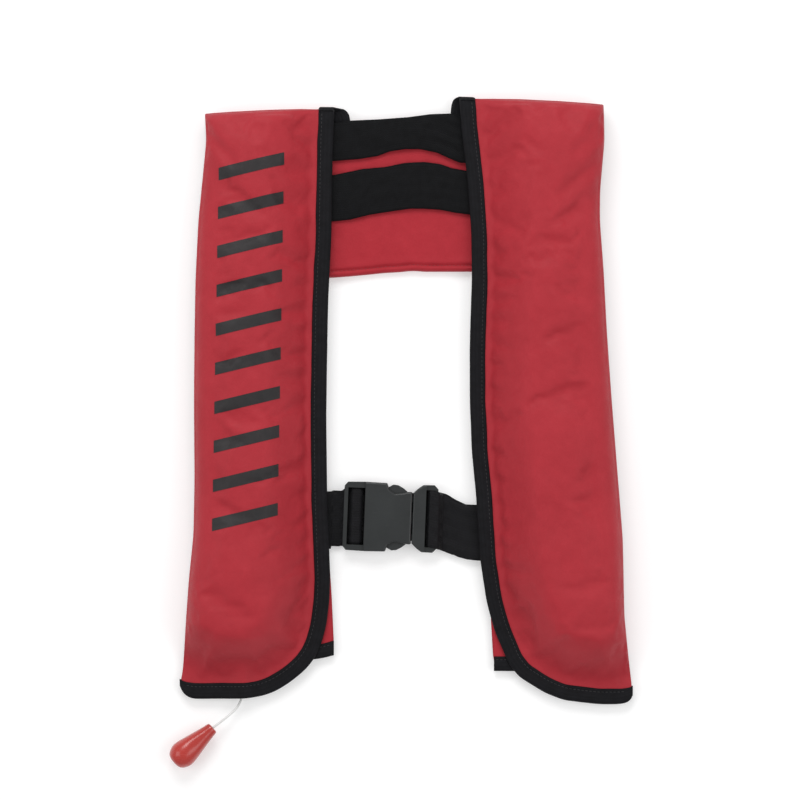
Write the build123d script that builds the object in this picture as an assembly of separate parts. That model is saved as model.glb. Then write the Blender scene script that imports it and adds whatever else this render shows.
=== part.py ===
from build123d import *
import math
import os
from types import SimpleNamespace

# Inflatable life jacket, horse-collar pattern, lying folded flat on its back.
# Frame, millimetres: +Z up from the surface it lies on, +Y towards the wearer's head,
# +X to the right as the jacket's front is seen. Left and right in the names are as seen.
# The origin is the centre of the flat outer face of the neck-and-back panel, on which it rests.

# ---------------------------------------------------------------- shared dimensions
FABRIC = 1.5            # one layer of cover cloth
COVER_T = 1.6           # front cover
WEB_T = 1.6             # webbing
BIND_W = 12.0           # binding tape, width on one side
BIND_GAP = 1.0          # the binding stands this far off the cloth on both sides

PANEL_LOW_Y = -425.0    # the underside of the body-side panels is at PANEL_LOW_Z here ...
PANEL_LOW_Z = 5.0
PANEL_SLOPE = 0.02      # ... and rises towards the shoulder fold

Y_TOP, Y_FULL, Y_HEM = 75.0, -395.0, -452.0    # fold, lowest full-height section, hem
CREST_TOP, CREST_LOW = 38.0, 44.0              # cover height at Y_TOP and at Y_FULL

os.makedirs("parts", exist_ok=True)


# ---------------------------------------------------------------- helpers
def save(name, shape):
    solids = shape.solids()
    out = solids[0] if len(solids) == 1 else Compound(children=list(solids))
    export_step(out, f"parts/{name}.step")


def polygon(points):
    """Flat face in XY from (x, y) points."""
    return make_face(Polyline(*[(x, y, 0) for x, y in points], close=True))


def lifted(face, z0, z1):
    """Face in XY raised into a block from z0 to z1."""
    return extrude(Pos(0, 0, z0) * face, amount=z1 - z0, dir=(0, 0, 1))


def prism(points, z0, z1):
    return lifted(polygon(points), z0, z1)


def rect(x0, y0, x1, y1):
    return [(x0, y0), (x1, y0), (x1, y1), (x0, y1)]


def rounded(points, radius):
    """Polygon face with every corner rounded."""
    return fillet(polygon(points).vertices(), radius)


def mirrored(half):
    """Closed outline from its half on the -Y side."""
    return half + [(x, -y) for x, y in reversed(half)]


def wire3(points):
    return Wire.make_polygon([Vector(*p) for p in points], close=True)


def slab(points, low, high, breaks=()):
    """Prism over an XY outline whose underside and top follow low(y) and high(y).

    At each y in breaks the underside and top may change slope.
    """
    xs = [p[0] for p in points]
    ys = [p[1] for p in points]
    x0, y0, y1 = min(xs) - 1, min(ys) - 1, max(ys) + 1
    stops = [y0] + sorted(b for b in breaks if y0 < b < y1) + [y1]
    profile = [(x0, y, low(y)) for y in stops] + [(x0, y, high(y)) for y in reversed(stops)]
    body = extrude(Face(wire3(profile)), amount=max(xs) - min(xs) + 2, dir=(1, 0, 0))
    heights = [p[2] for p in profile]
    return body & prism(points, min(heights) - 1, max(heights) + 1)


def bar(start, end, radius):
    """Round bar between two points."""
    a, b = Vector(*start), Vector(*end)
    return extrude(Plane(origin=a, z_dir=b - a) * Circle(radius), amount=(b - a).length)


def upright(xy, z0, z1, radius):
    """Round bar along Z."""
    return bar((*xy, z0), (*xy, z1), radius)


def turned(profile):
    """Body of revolution about Z from (radius, height) points."""
    return revolve(make_face(Polyline(*[(r, 0, z) for r, z in profile], close=True)), Axis.Z, 360)


def coil(pitch, height, radius, start):
    """Spring of 0.6 wire running along +Y from start."""
    helix = Helix(pitch=pitch, height=height, radius=radius, center=start, direction=(0, 1, 0))
    return sweep(Plane(origin=helix @ 0, z_dir=helix % 0) * Circle(0.3), path=helix, is_frenet=True)


def try_fillet(shape, edges, radii):
    """Fillet with the first radius that gives a valid body; left sharp if none does.

    The try guards against the kernel refusing a radius too large for these edges.
    """
    for radius in radii:
        try:
            out = fillet(edges, radius)
            if out.is_valid:
                return out
        except Exception:
            continue
    return shape


def soften_top(body, radii):
    return try_fillet(body, body.edges().group_by(Axis.Z)[-1], radii)


def soften_bottom(body, radii):
    return try_fillet(body, body.edges().group_by(Axis.Z)[0], radii)


# ---------------------------------------------------------------- the two front lobes
# side is the sign of X. Sizes ending in _dist are distances from the centre plane x = 0.
# step_gain and hem_step are (foot, head) of the step between the raised cover and its flat edge.
# cover_edge and panel_edge are the edges nearest the centre, (x, y) from the hem upwards.
# blocks and tab of the bladder are (outer x, inner x, low y, high y);
# an outer x of None follows the lobe's outer edge.
LEFT = SimpleNamespace(
    name="left", side=-1,
    outer_dist=174.5, flare=20.4,
    cover_far_dist=230.0, cover_end_y=76.4, cover_lap_dist=50.0,
    step_gain=(4.0, 2.0), hem_step=(118.0, 132.0),
    cover_edge=[
        (-190.5, -447.2), (-164.7, -447.3), (-137.9, -446.8), (-122.8, -444.1),
        (-112.1, -439.7), (-100.6, -432.5), (-91.7, -425.4), (-84.5, -418.3),
        (-76.5, -408.5), (-71.2, -397.8), (-66.8, -382.7), (-64.1, -361.3),
        (-63.2, -341.8), (-64.1, -316.8), (-65.9, -270.6), (-66.8, -199.4),
        (-65.9, -137.1), (-65.0, -92.6), (-62.3, -39.2), (-61.4, 14.2),
        (-60.6, 40.9), (-59.6, 77.9)],
    panel_low_y=-410.0,
    panel_edge=[
        (-62.9, -409.9), (-60.8, -396.9), (-62.7, -359.6), (-63.6, -324.0),
        (-67.0, -300.0), (-68.5, -200.0), (-66.0, -40.0), (-64.0, 68.0)],
    strip=rect(-92.0, -372.0, -80.0, 60.0),
    cap_inner_x=-61.0,
    blocks=[(None, -110.5, -195.0, 72.0), (-149.0, -111.5, -336.0, -195.0),
            (-125.0, -111.5, -398.0, -336.0)],
    tab=(-184.5, -124.0, -400.0, -336.0),
    patch=rect(-158.0, -20.0, -120.0, 55.0))
RIGHT = SimpleNamespace(
    name="right", side=1,
    outer_dist=181.6, flare=25.8,
    cover_far_dist=240.0, cover_end_y=85.7, cover_lap_dist=45.0,
    step_gain=(24.0, 22.0), hem_step=(132.0, 146.0),
    cover_edge=[
        (202.9, -449.4), (178.0, -450.3), (146.8, -446.8), (129.9, -439.7),
        (119.3, -432.5), (107.7, -425.4), (97.9, -413.9), (92.6, -404.1),
        (86.3, -389.8), (81.9, -375.6), (78.3, -361.3), (73.0, -327.5),
        (68.5, -263.4), (65.0, -226.1), (63.2, -181.6), (63.2, -128.2),
        (65.0, -74.8), (64.6, -32.9), (61.4, 12.5), (56.1, 57.9), (53.8, 87.2)],
    panel_low_y=-424.0,
    panel_edge=[
        (85.3, -423.6), (83.2, -409.4), (81.2, -375.6), (76.0, -330.0),
        (72.0, -262.0), (67.0, -180.0), (67.0, -60.0), (60.0, 68.0)],
    strip=[(98.0, -372.0), (110.0, -372.0), (88.5, 60.0), (76.5, 60.0)],
    cap_inner_x=56.0,
    blocks=[(None, 121.5, -150.0, 72.0), (150.0, 132.5, -336.0, -150.0),
            (140.0, 133.0, -394.0, -336.0)],
    tab=(186.0, 139.0, -402.0, -150.0),
    patch=rect(130.0, -20.0, 168.0, 55.0))


def outer_x(lobe, y):
    """Outer edge of a lobe, flaring out from the shoulder to the hem."""
    return lobe.side * (lobe.outer_dist + (79.0 - y) / 528.0 * lobe.flare)


def panel_z(y):
    """Underside of the body-side panels."""
    return PANEL_LOW_Z + (y - PANEL_LOW_Y) * PANEL_SLOPE


def panel_top(y):
    return panel_z(y) + FABRIC


def share_down(y):
    """0 at Y_TOP, 1 at Y_FULL."""
    return (Y_TOP - y) / (Y_TOP - Y_FULL)


def crest(y):
    return CREST_TOP + share_down(y) * (CREST_LOW - CREST_TOP)


# ---------------------------------------------------------------- front covers and their binding
STEP_DIST = (92.0, 106.0)     # foot and head of the step at Y_TOP
EDGE_SETBACK = 1.2            # the cloth stops this far inside the binding's edge
HEM_RISE = 12.0               # cover height over the panel's underside at the hem


def cover_section(lobe, y, grow, hem_top=None):
    """Cross-section of the cover sheet at y, thickened by grow on both faces."""
    inward = -lobe.side
    skirt_z = panel_z(y) - 0.3
    flange = panel_z(y) + 4.0 + COVER_T
    if hem_top is None:
        top = crest(y)
        foot, head = [d + share_down(y) * gain for d, gain in zip(STEP_DIST, lobe.step_gain)]
    else:
        top = hem_top
        foot, head = lobe.hem_step
    foot, head = lobe.side * foot, lobe.side * head
    lap = lobe.side * lobe.cover_lap_dist
    edge = outer_x(lobe, y)
    knee = min(skirt_z + 14.0, top - 4.0)
    inner_t = COVER_T + grow
    outside = [
        (edge - inward * grow, skirt_z), (edge + inward * (1.5 - grow), knee),
        (edge + inward * 11.0, top + grow), (head, top + grow),
        (foot, flange + grow), (lap, flange + grow)]
    inside = [
        (lap, flange - inner_t), (foot - inward * 1.0, flange - inner_t),
        (head - inward * 1.2, top - inner_t), (edge + inward * 12.0, top - inner_t),
        (edge + inward * (1.5 + inner_t), knee - 0.6), (edge + inward * inner_t, skirt_z)]
    return wire3([(x, y, z) for x, z in outside + inside])


def cover_sheet(lobe, grow=0.0):
    sections = [
        cover_section(lobe, Y_HEM, grow, panel_z(Y_HEM) + HEM_RISE),
        cover_section(lobe, Y_FULL, grow),
        cover_section(lobe, lobe.cover_end_y + 2.1, grow)]
    return Solid.make_loft(sections, ruled=True)


def cover_outline(lobe, inset, end_y):
    """Outline with inner edge and hem moved in by inset and the outer side left generous."""
    inward, edge = -lobe.side, lobe.cover_edge
    far = lobe.side * lobe.cover_far_dist
    moved = []
    for i, (x, y) in enumerate(edge):
        xa, ya = edge[max(i - 1, 0)]
        xb, yb = edge[min(i + 1, len(edge) - 1)]
        run, rise = xb - xa, yb - ya
        length = math.hypot(run, rise)
        moved.append((x - inward * rise / length * inset, y + inward * run / length * inset))
    moved = [p for p in moved if p[1] < end_y - 0.5]
    return [(far, moved[0][1])] + moved + [(moved[-1][0], end_y), (far, end_y)]


def front_cover(lobe):
    outline = cover_outline(lobe, EDGE_SETBACK, lobe.cover_end_y)
    return cover_sheet(lobe) & prism(outline, -5, 60)


def cover_binding(lobe, cover):
    """Tape along the cover's edge, standing off both faces of the cloth."""
    end_y = lobe.cover_end_y
    ring = prism(cover_outline(lobe, 0.0, end_y), -5, 60)
    ring = ring - prism(cover_outline(lobe, BIND_W, end_y + 5), -6, 61)
    return (cover_sheet(lobe, BIND_GAP) & ring) - cover


def shoulder_cap(lobe):
    """Upright cloth wall closing the upper end of a front cover."""
    inward = -lobe.side
    y = lobe.cover_end_y + 0.1
    outer = outer_x(lobe, 78.0) + inward * 2.0
    inner = lobe.cap_inner_x
    low, top = 15.2, CREST_TOP - 0.5
    profile = [(outer, low), (inner, low), (inner, 19.5), (inner - inward * 22.0, 23.0),
               (inner - inward * 34.0, top), (outer + inward * 9.0, top), (outer, 29.0)]
    face = Face(wire3([(x, y, z) for x, z in profile]))
    return extrude(face, amount=FABRIC, dir=(0, 1, 0))


for lobe in (LEFT, RIGHT):
    cover = front_cover(lobe)
    save(f"{lobe.name}_front_cover", cover)
    save(f"{lobe.name}_cover_binding", cover_binding(lobe, cover))
    save(f"{lobe.name}_shoulder_cap", shoulder_cap(lobe))


# ---------------------------------------------------------------- body-side panels and strips
PANEL_END_Y = 73.5
PANEL_SETBACK = 3.2     # panel's outer side, in from the lobe's edge
HEM_W = 14.0
HEM_T = 0.8             # hem tape on each face of the panel


def panel_outline(lobe, low, high):
    edge = lobe.panel_edge

    def edge_x(y):
        for (xa, ya), (xb, yb) in zip(edge, edge[1:]):
            if ya <= y <= yb:
                return xa + (xb - xa) * (y - ya) / (yb - ya)
        return edge[0][0] if y < edge[0][1] else edge[-1][0]

    middle = [p for p in edge if low + 1 < p[1] < high - 1]
    setback = -lobe.side * PANEL_SETBACK
    return [(outer_x(lobe, low) + setback, low), (edge_x(low), low), *middle,
            (edge_x(high), high), (outer_x(lobe, high) + setback, high)]


def inner_panel(lobe):
    outline = panel_outline(lobe, lobe.panel_low_y + EDGE_SETBACK, PANEL_END_Y)
    return slab(outline, panel_z, panel_top)


def panel_binding(lobe, panel):
    outline = panel_outline(lobe, lobe.panel_low_y, lobe.panel_low_y + HEM_W)
    return slab(outline, lambda y: panel_z(y) - HEM_T, lambda y: panel_top(y) + HEM_T) - panel


def closure_strip(lobe, low, high):
    """Strip between two heights over the panel's underside."""
    return slab(lobe.strip, lambda y: panel_z(y) + low, lambda y: panel_z(y) + high)


for lobe in (LEFT, RIGHT):
    panel = inner_panel(lobe)
    save(f"{lobe.name}_inner_panel", panel)
    save(f"{lobe.name}_panel_binding", panel_binding(lobe, panel))
    save(f"{lobe.name}_loop_strip", closure_strip(lobe, FABRIC + 0.1, FABRIC + 1.1))
    save(f"{lobe.name}_hook_strip", closure_strip(lobe, 2.75, 3.85))


# ---------------------------------------------------------------- bladder lobes and patches
def bladder_low(y):
    return panel_top(y) + 1.3


def bladder_top(y):
    """Follows under the cover's crest, then falls away below Y_FULL."""
    top = crest(y) - 3.4
    return top if y >= Y_FULL else top - (Y_FULL - y) * 0.62


def tab_top(y):
    return panel_top(y) + 2.9


def bladder_block(lobe, outer, inner, y0, y1, high=bladder_top):
    def side_x(y):
        return outer_x(lobe, y) - lobe.side * 13.2 if outer is None else outer

    low_a, low_b = sorted((side_x(y0), inner))
    high_a, high_b = sorted((side_x(y1), inner))
    outline = [(low_a, y0), (low_b, y0), (high_b, y1), (high_a, y1)]
    return slab(outline, bladder_low, high, breaks=(Y_FULL,))


def bladder(lobe):
    body = bladder_block(lobe, *lobe.blocks[0])
    for block in lobe.blocks[1:]:
        body += bladder_block(lobe, *block)
    body += bladder_block(lobe, *lobe.tab, high=tab_top)
    return body


def reflective_patch(lobe):
    return slab(lobe.patch, lambda y: bladder_top(y) + 0.05, lambda y: bladder_top(y) + 0.45)


for lobe in (LEFT, RIGHT):
    save(f"{lobe.name}_bladder", bladder(lobe))
    save(f"{lobe.name}_reflective_patch", reflective_patch(lobe))

# ---------------------------------------------------------------- neck-and-back panel
RIM_TOP = 8.8
INNER_COVER_Z = RIM_TOP + 0.1
INNER_COVER_TOP = INNER_COVER_Z + FABRIC
STRAP_Z = INNER_COVER_TOP + 0.3      # underside of the neck and yoke straps

# outlines in (x, y)
BACK_OUTLINE = [
    (-166.0, -60.0), (-150.0, -74.0), (-61.4, -73.0), (0.0, -70.3), (13.3, -66.8),
    (63.2, -66.8), (156.0, -66.0), (171.0, -54.0), (171.0, 73.0), (62.0, 73.0),
    (56.0, 66.0), (-56.0, 62.0), (-62.0, 73.0), (-166.0, 73.0)]
NECK_BLADDER = [
    (-160.0, -56.0), (-146.0, -67.0), (0.0, -63.5), (15.0, -60.5), (152.0, -60.0),
    (165.0, -50.0), (165.0, 69.0), (66.0, 69.0), (58.0, 61.0), (-58.0, 57.0),
    (-66.0, 69.0), (-160.0, 69.0)]
NECK_STRAP = [
    (-70.0, 67.5), (-45.4, 67.5), (-17.8, 69.0), (7.1, 70.8), (26.7, 72.8), (46.3, 72.8),
    (70.0, 71.5),
    (70.0, 30.0), (53.4, 30.3), (42.7, 34.0), (32.9, 37.0), (17.8, 38.5), (4.5, 38.5),
    (-8.9, 37.0), (-19.6, 34.5), (-35.6, 32.0), (-70.0, 31.0)]
YOKE_STRAP = [
    (-150.0, 18.0), (-58.7, 19.6), (-33.8, 22.9), (-13.3, 25.7), (3.6, 28.8), (22.2, 29.9),
    (35.6, 28.4), (46.3, 25.8), (61.4, 23.1), (150.0, 21.0),
    (150.0, -19.0), (63.2, -16.9), (49.0, -14.6), (35.6, -11.9), (22.2, -10.4), (8.9, -10.9),
    (-4.5, -13.3), (-26.7, -17.0), (-44.5, -20.5), (-61.4, -21.7), (-150.0, -22.0)]
LEFT_NECK_BINDING = [(-62.0, 73.5), (-62.0, 68.0), (-44.0, 68.0), (-47.5, 73.5)]
RIGHT_NECK_BINDING = [(40.0, 73.2), (62.0, 73.2), (62.0, 74.6), (42.5, 74.6)]


def back_outer_cover():
    """Flat cloth with a thin upright rim."""
    hollow = [(x * 0.992, y * 0.975) for x, y in BACK_OUTLINE]
    rim = prism(BACK_OUTLINE, FABRIC, RIM_TOP) - prism(hollow, FABRIC - 0.1, RIM_TOP + 0.2)
    return prism(BACK_OUTLINE, 0.0, FABRIC) + rim


def left_neck_binding():
    return prism(LEFT_NECK_BINDING, 5.0, 10.3) - prism(BACK_OUTLINE, -1, 20)


save("back_outer_cover", back_outer_cover())
save("neck_bladder", prism(NECK_BLADDER, FABRIC + 0.3, RIM_TOP - 0.2))
save("back_inner_cover", prism(BACK_OUTLINE, INNER_COVER_Z, INNER_COVER_TOP))
save("neck_strap", prism(NECK_STRAP, STRAP_Z, STRAP_Z + WEB_T))
save("yoke_strap", prism(YOKE_STRAP, STRAP_Z, STRAP_Z + WEB_T))
save("left_neck_binding", left_neck_binding())
save("right_neck_binding", prism(RIGHT_NECK_BINDING, 5.0, 12.4))

# ---------------------------------------------------------------- waist belt
# The buckle and the webbing in it are drawn about the buckle's centre:
# u along the belt, v across, w up.
BUCKLE_PLACE = Pos(-8.5, -286.6, 3.3) * Rot(0, 0, -2.2)
BELT_Z = 3.4            # underside of the front run
BACK_BELT_Z = 1.5       # underside of the back run
BELT_END_X = -159.0
BELT_END_LOW_Y, BELT_END_HIGH_Y = -314.0, -264.0
BUCKLE_WEB_HALF_W = 24.6

# runs of webbing, (x, y)
LEFT_RUN = [
    (BELT_END_X, BELT_END_LOW_Y), (-56.0, -311.5), (-52.0, -310.2), (-52.0, -261.6),
    (-56.0, -262.3), (BELT_END_X, BELT_END_HIGH_Y)]
BACK_RUN = [
    (BELT_END_X, BELT_END_LOW_Y), (158.0, -325.0), (158.0, -275.0),
    (BELT_END_X, BELT_END_HIGH_Y)]
RIGHT_RUN = [
    (46.0, -316.6), (50.0, -319.5), (58.0, -323.0), (72.0, -325.7), (156.0, -326.0),
    (156.0, -276.0), (72.0, -275.0), (58.0, -273.6), (50.0, -269.4), (44.0, -265.0)]
# webbing turned through each half of the buckle, (u, w)
LEFT_TURN = [
    (-46.0, 0.1), (-37.0, 0.1), (-34.0, 6.5), (-27.4, 6.5), (-25.9, 5.2), (-25.9, 0.6),
    (-24.3, 0.6), (-24.3, 6.2), (-26.4, 8.1), (-34.9, 8.1), (-37.9, 1.7), (-46.0, 1.7)]
RIGHT_TURN = [
    (32.2, 0.6), (33.8, 0.6), (33.8, 6.5), (34.9, 7.7), (42.4, 7.7), (43.4, 6.2),
    (46.2, 1.6), (48.2, 0.1), (56.0, 0.1), (56.0, 1.7), (49.0, 1.7), (47.6, 2.6),
    (44.8, 7.3), (42.6, 9.3), (34.2, 9.3), (32.2, 7.2)]
LOOP_DIST = 120.0       # belt loops, from the centre plane
LOOP_HALF_W = 12.5
LOOP_T = 1.2
LOOP_LOW_Y, LOOP_HIGH_Y = -346.0, -240.0


def buckle_web(profile):
    face = Face(wire3([(u, BUCKLE_WEB_HALF_W, w) for u, w in profile]))
    return BUCKLE_PLACE * extrude(face, amount=2 * BUCKLE_WEB_HALF_W, dir=(0, -1, 0))


def waist_belt():
    belt = prism(LEFT_RUN, BELT_Z, BELT_Z + WEB_T)
    belt += buckle_web(LEFT_TURN)
    belt += prism(BACK_RUN, BACK_BELT_Z, BACK_BELT_Z + WEB_T)
    end_fold = rect(BELT_END_X - WEB_T, BELT_END_LOW_Y, BELT_END_X, BELT_END_HIGH_Y)
    belt += prism(end_fold, BACK_BELT_Z, BELT_Z + WEB_T)
    return belt


def belt_adjuster_strap():
    strap = buckle_web(RIGHT_TURN)
    strap += prism(RIGHT_RUN, BELT_Z, BELT_Z + WEB_T)
    return strap


def belt_loop(x):
    """Strip under the belt with an upright end at each side, reaching up to the panel."""
    x0, x1 = x - LOOP_HALF_W, x + LOOP_HALF_W
    loop = prism(rect(x0, LOOP_LOW_Y, x1, LOOP_HIGH_Y), 0.0, LOOP_T)
    for y in (LOOP_LOW_Y, LOOP_HIGH_Y - LOOP_T):
        loop += prism(rect(x0, y, x1, y + LOOP_T), 0.0, panel_z(y) - 0.05)
    return loop


save("waist_belt", waist_belt())
save("belt_adjuster_strap", belt_adjuster_strap())
for lobe in (LEFT, RIGHT):
    save(f"{lobe.name}_belt_loop", belt_loop(lobe.side * LOOP_DIST))

# ---------------------------------------------------------------- side-release buckle, in u, v, w
WEB_SLOT_W = 51.2
CAVITY_W = (2.9, 9.9)             # heights of the hollow in the female half
ROOT_U, ROOT_V, ROOT_W = 21.6, 16.8, 6.4     # root of each side prong
ROOT_R = 2.4

# half outlines on the -v side, (u, v)
FEMALE_HALF = [
    (-42.0, -27.0), (-39.0, -30.5), (-22.0, -31.0), (-4.0, -30.6), (-1.5, -24.5),
    (3.5, -21.6), (10.0, -22.4), (15.5, -23.4), (19.0, -23.4)]
CAVITY_HALF = [
    (-17.5, -27.6), (-2.0, -27.6), (2.0, -34.0), (14.6, -34.0), (15.2, -21.4), (24.0, -21.4)]
MALE_HALF = [(19.6, -22.6), (24.5, -27.2), (28.5, -30.0), (38.5, -30.2), (42.0, -26.5)]
TONGUE_HALF = [(-11.0, -3.4), (20.5, -5.2)]
# whole outlines of the prong on the +v side and of the recess at its root
PRONG = [
    (21.6, 14.5), (14.0, 14.4), (4.0, 16.4), (-4.0, 19.0), (-12.3, 21.0), (-12.4, 24.2),
    (-8.0, 26.2), (-2.6, 27.0), (1.5, 29.4), (6.0, 29.0), (10.5, 26.6), (14.3, 23.6),
    (15.0, 20.0), (19.0, 19.4), (21.6, 19.1)]
PRONG_RECESS = [(19.0, 12.6), (21.6, 14.1), (21.6, 19.6), (19.0, 20.4)]


def buckle_female():
    body = lifted(rounded(mirrored(FEMALE_HALF), 1.4), 0.0, 12.6)
    body = soften_top(body, (1.8, 1.4, 1.0))
    body = soften_bottom(body, (1.2, 0.8))
    body -= Pos(-33.2, 0, 12.0) * Box(20.4, 70.0, 5.4)         # webbing frame is lower
    body -= Pos(-31.0, 0, 5) * Box(15.2, WEB_SLOT_W, 30)       # webbing opening ...
    body += Pos(-30.6, 0, 4.1) * Box(5.6, 52.6, 3.4)           # ... and its cross bar
    body -= Pos(-40.0, 0, 0.6) * Box(6.0, WEB_SLOT_W, 3.4)     # webbing way under the end bar
    body -= lifted(rounded(mirrored(CAVITY_HALF), 0.6), *CAVITY_W)
    return body


def buckle_male():
    """Base with a webbing slot and a centre tongue; the side prongs are pieces of their own."""
    body = lifted(rounded(mirrored(MALE_HALF), 1.6), 0.6, 12.0)
    body = soften_top(body, (1.6, 1.2, 0.8))
    body = soften_bottom(body, (1.0, 0.6))
    body -= Pos(37.4, 0, 12.1) * Box(12.0, 70.0, 7.0)          # webbing frame is lower
    body -= Pos(33.5, 0, 5) * Box(4.6, WEB_SLOT_W, 30)         # webbing slot
    body -= Pos(40.0, 0, 11.4) * Box(9.0, WEB_SLOT_W, 8.0)     # relief over the end bar
    body += lifted(rounded(mirrored(TONGUE_HALF), 1.2), 4.2, 8.6)
    for sign in (1, -1):
        body -= Pos(ROOT_U, sign * ROOT_V, ROOT_W) * Cylinder(ROOT_R + 0.07, 7.0)
        body -= prism([(u, sign * v) for u, v in PRONG_RECESS], *CAVITY_W)
    return body


def prong(sign):
    body = prism([(u, sign * v) for u, v in PRONG], 3.4, 9.4)
    # the root end and the corners at the shoulder stay sharp
    corners = [e for e in body.edges().filter_by(Axis.Z)
               if e.center().X < 18.0 and not (13 < e.center().X < 16)]
    body = try_fillet(body, corners, (0.9, 0.5))
    body += Pos(ROOT_U, sign * ROOT_V, ROOT_W) * Cylinder(ROOT_R, 6.0)
    return body


save("buckle_female", BUCKLE_PLACE * buckle_female())
save("buckle_male", BUCKLE_PLACE * buckle_male())
save("upper_prong", BUCKLE_PLACE * prong(1))
save("lower_prong", BUCKLE_PLACE * prong(-1))

# ---------------------------------------------------------------- pull handle and cord
CORD_X, CORD_Z = -141.5, 12.0
CORD_R = 1.1
CORD_SPLIT_Y = -445.0   # the outer and inner lengths of cord meet here
CORD_TOP_Z = 18.6       # cord height at the lever
HANDLE_START = Vector(-167.3, -474.5, CORD_Z)
HANDLE_AIM = Vector(-0.746, -0.666, 0).normalized()
# (radius, distance from the cord end)
HANDLE_PROFILE = [
    (0.0, 0.0), (4.4, 0.0), (5.1, 0.8), (6.4, 9.0), (8.7, 19.0), (11.1, 29.5), (11.9, 35.0),
    (11.3, 39.6), (8.9, 43.9), (5.4, 46.3), (0.0, 46.8)]


def pull_handle():
    handle = turned(HANDLE_PROFILE)
    handle -= bar((0, 0, -1), (0, 0, 9), 1.5)
    wide = [e for e in handle.edges().filter_by(GeomType.CIRCLE) if 8.0 < e.radius < 12.5]
    handle = try_fillet(handle, wide, (2.5, 1.5))
    return Plane(origin=HANDLE_START, x_dir=(0, 0, 1), z_dir=HANDLE_AIM).location * handle


def cord_length(points, start_dir, end_dir):
    path = Spline(*points, tangents=[start_dir, end_dir])
    return sweep(Plane(origin=points[0], z_dir=start_dir) * Circle(CORD_R), path=path)


def pull_cord():
    split = (CORD_X, CORD_SPLIT_Y, CORD_Z)
    outer = cord_length(
        [split, (-142.3, -449.9, CORD_Z), (-146.4, -457.2, CORD_Z), (-155.4, -465.6, CORD_Z),
         tuple(HANDLE_START), tuple(HANDLE_START + HANDLE_AIM * 7.0)],
        (0, -1, 0), tuple(HANDLE_AIM))
    inner = cord_length(
        [split, (CORD_X, -415.0, CORD_Z), (CORD_X, -385.0, CORD_Z), (CORD_X, -371.5, 15.3),
         (CORD_X, -358.0, CORD_TOP_Z), (CORD_X, -349.0, CORD_TOP_Z)],
        (0, 1, 0), (0, 1, 0))
    return Compound(children=[outer.solids()[0]] + list(inner.solids()))


save("pull_handle", pull_handle())
save("pull_cord", pull_cord())
save("cord_knot", Pos(CORD_X, -346.4, CORD_TOP_Z) * Sphere(2.5))

# ---------------------------------------------------------------- manual inflator
LEVER_L = 32.0          # firing lever, pivot to eye
LEVER_ANGLE = math.radians(50.0)     # above the X axis; it swings as far below when pulled
NOSE_ANGLE = math.radians(190.0)     # cam nose, which swings to 90 degrees to push the pin
NOSE_L = 8.0
PIVOT = (CORD_X - LEVER_L * math.cos(LEVER_ANGLE), -376.0)
EYE = (CORD_X, PIVOT[1] + LEVER_L * math.sin(LEVER_ANGLE))
INFLATOR_Z = 25.2       # axis height of cylinder, pin and lever
PIN_X = PIVOT[0] - 4.0
PIN_LOW_Y = PIVOT[1] + 4.7
PIN_TIP_Y = -347.0      # where the pin starts to taper
PIVOT_R = 2.0
STEM = (PIN_X - 7.6, -349.5)
STEM_R = 4.5
BODY_X0, BODY_X1 = PIN_X - 14.5, PIVOT[0] + 6.4
BODY_Y0, BODY_Y1 = PIVOT[1] - 12.0, -334.0
# (radius, distance from the neck end)
BOTTLE_PROFILE = [
    (0.0, 0.0), (6.3, 0.0), (6.3, 11.0), (7.6, 12.6), (9.8, 15.6), (11.6, 19.6), (12.6, 24.0),
    (13.0, 29.0), (13.0, 128.0), (12.1, 132.0), (9.8, 134.6), (6.4, 135.8), (0.0, 136.0)]


def pin_bar(y0, y1, radius):
    """Round bar on the axis shared by firing pin and cylinder."""
    return bar((PIN_X, y0, INFLATOR_Z), (PIN_X, y1, INFLATOR_Z), radius)


def inflator_body():
    base = fillet(Rectangle(BODY_X1 - BODY_X0, BODY_Y1 - BODY_Y0).vertices(), 4.0)
    body = lifted(base, 12.6, 36.0)
    body = Pos((BODY_X0 + BODY_X1) / 2, (BODY_Y0 + BODY_Y1) / 2, 0) * body
    body = soften_top(body, (2.0, 1.2))
    body += pin_bar(-344.0, BODY_Y1, 10.6)
    body -= pin_bar(-343.6, -330.0, 6.4)        # thread bore for the cylinder
    body -= pin_bar(-358.0, -343.0, 1.66)       # pin guide
    slot_x0, slot_x1 = PIVOT[0] - 10.6, BODY_X1 + 4.0
    slot = Box(slot_x1 - slot_x0, 35.0, 6.0)    # lever slot
    body -= Pos((slot_x0 + slot_x1) / 2, PIVOT[1] + 3.5, INFLATOR_Z) * slot
    body -= upright(STEM, 0, 60, STEM_R + 0.1)
    body -= upright(PIVOT, 5, 60, PIVOT_R + 0.04)
    return body


def lever_arm(end, angle, root_half, end_half):
    """Tapered outline from the pivot to end, which lies at angle."""
    along_x, along_y = math.cos(angle), math.sin(angle)

    def beside(point, offset):
        return (point[0] - along_y * offset, point[1] + along_x * offset)

    return [beside(PIVOT, root_half), beside(end, end_half), beside(end, -end_half),
            beside(PIVOT, -root_half)]


def firing_lever():
    heights = (INFLATOR_Z - 2.5, INFLATOR_Z + 2.5)
    nose = (PIVOT[0] + NOSE_L * math.cos(NOSE_ANGLE), PIVOT[1] + NOSE_L * math.sin(NOSE_ANGLE))
    lever = prism(lever_arm(EYE, LEVER_ANGLE, 3.8, 4.0), *heights)
    lever += upright(PIVOT, *heights, 4.0)
    lever += upright(EYE, *heights, 4.0)
    lever += prism(lever_arm(nose, NOSE_ANGLE, 3.2, 1.6), *heights)
    lever += upright(nose, *heights, 1.6)
    lever -= upright(PIVOT, 0, 60, PIVOT_R + 0.06)
    lever -= upright(EYE, 0, 60, 1.8)
    return lever


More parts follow.
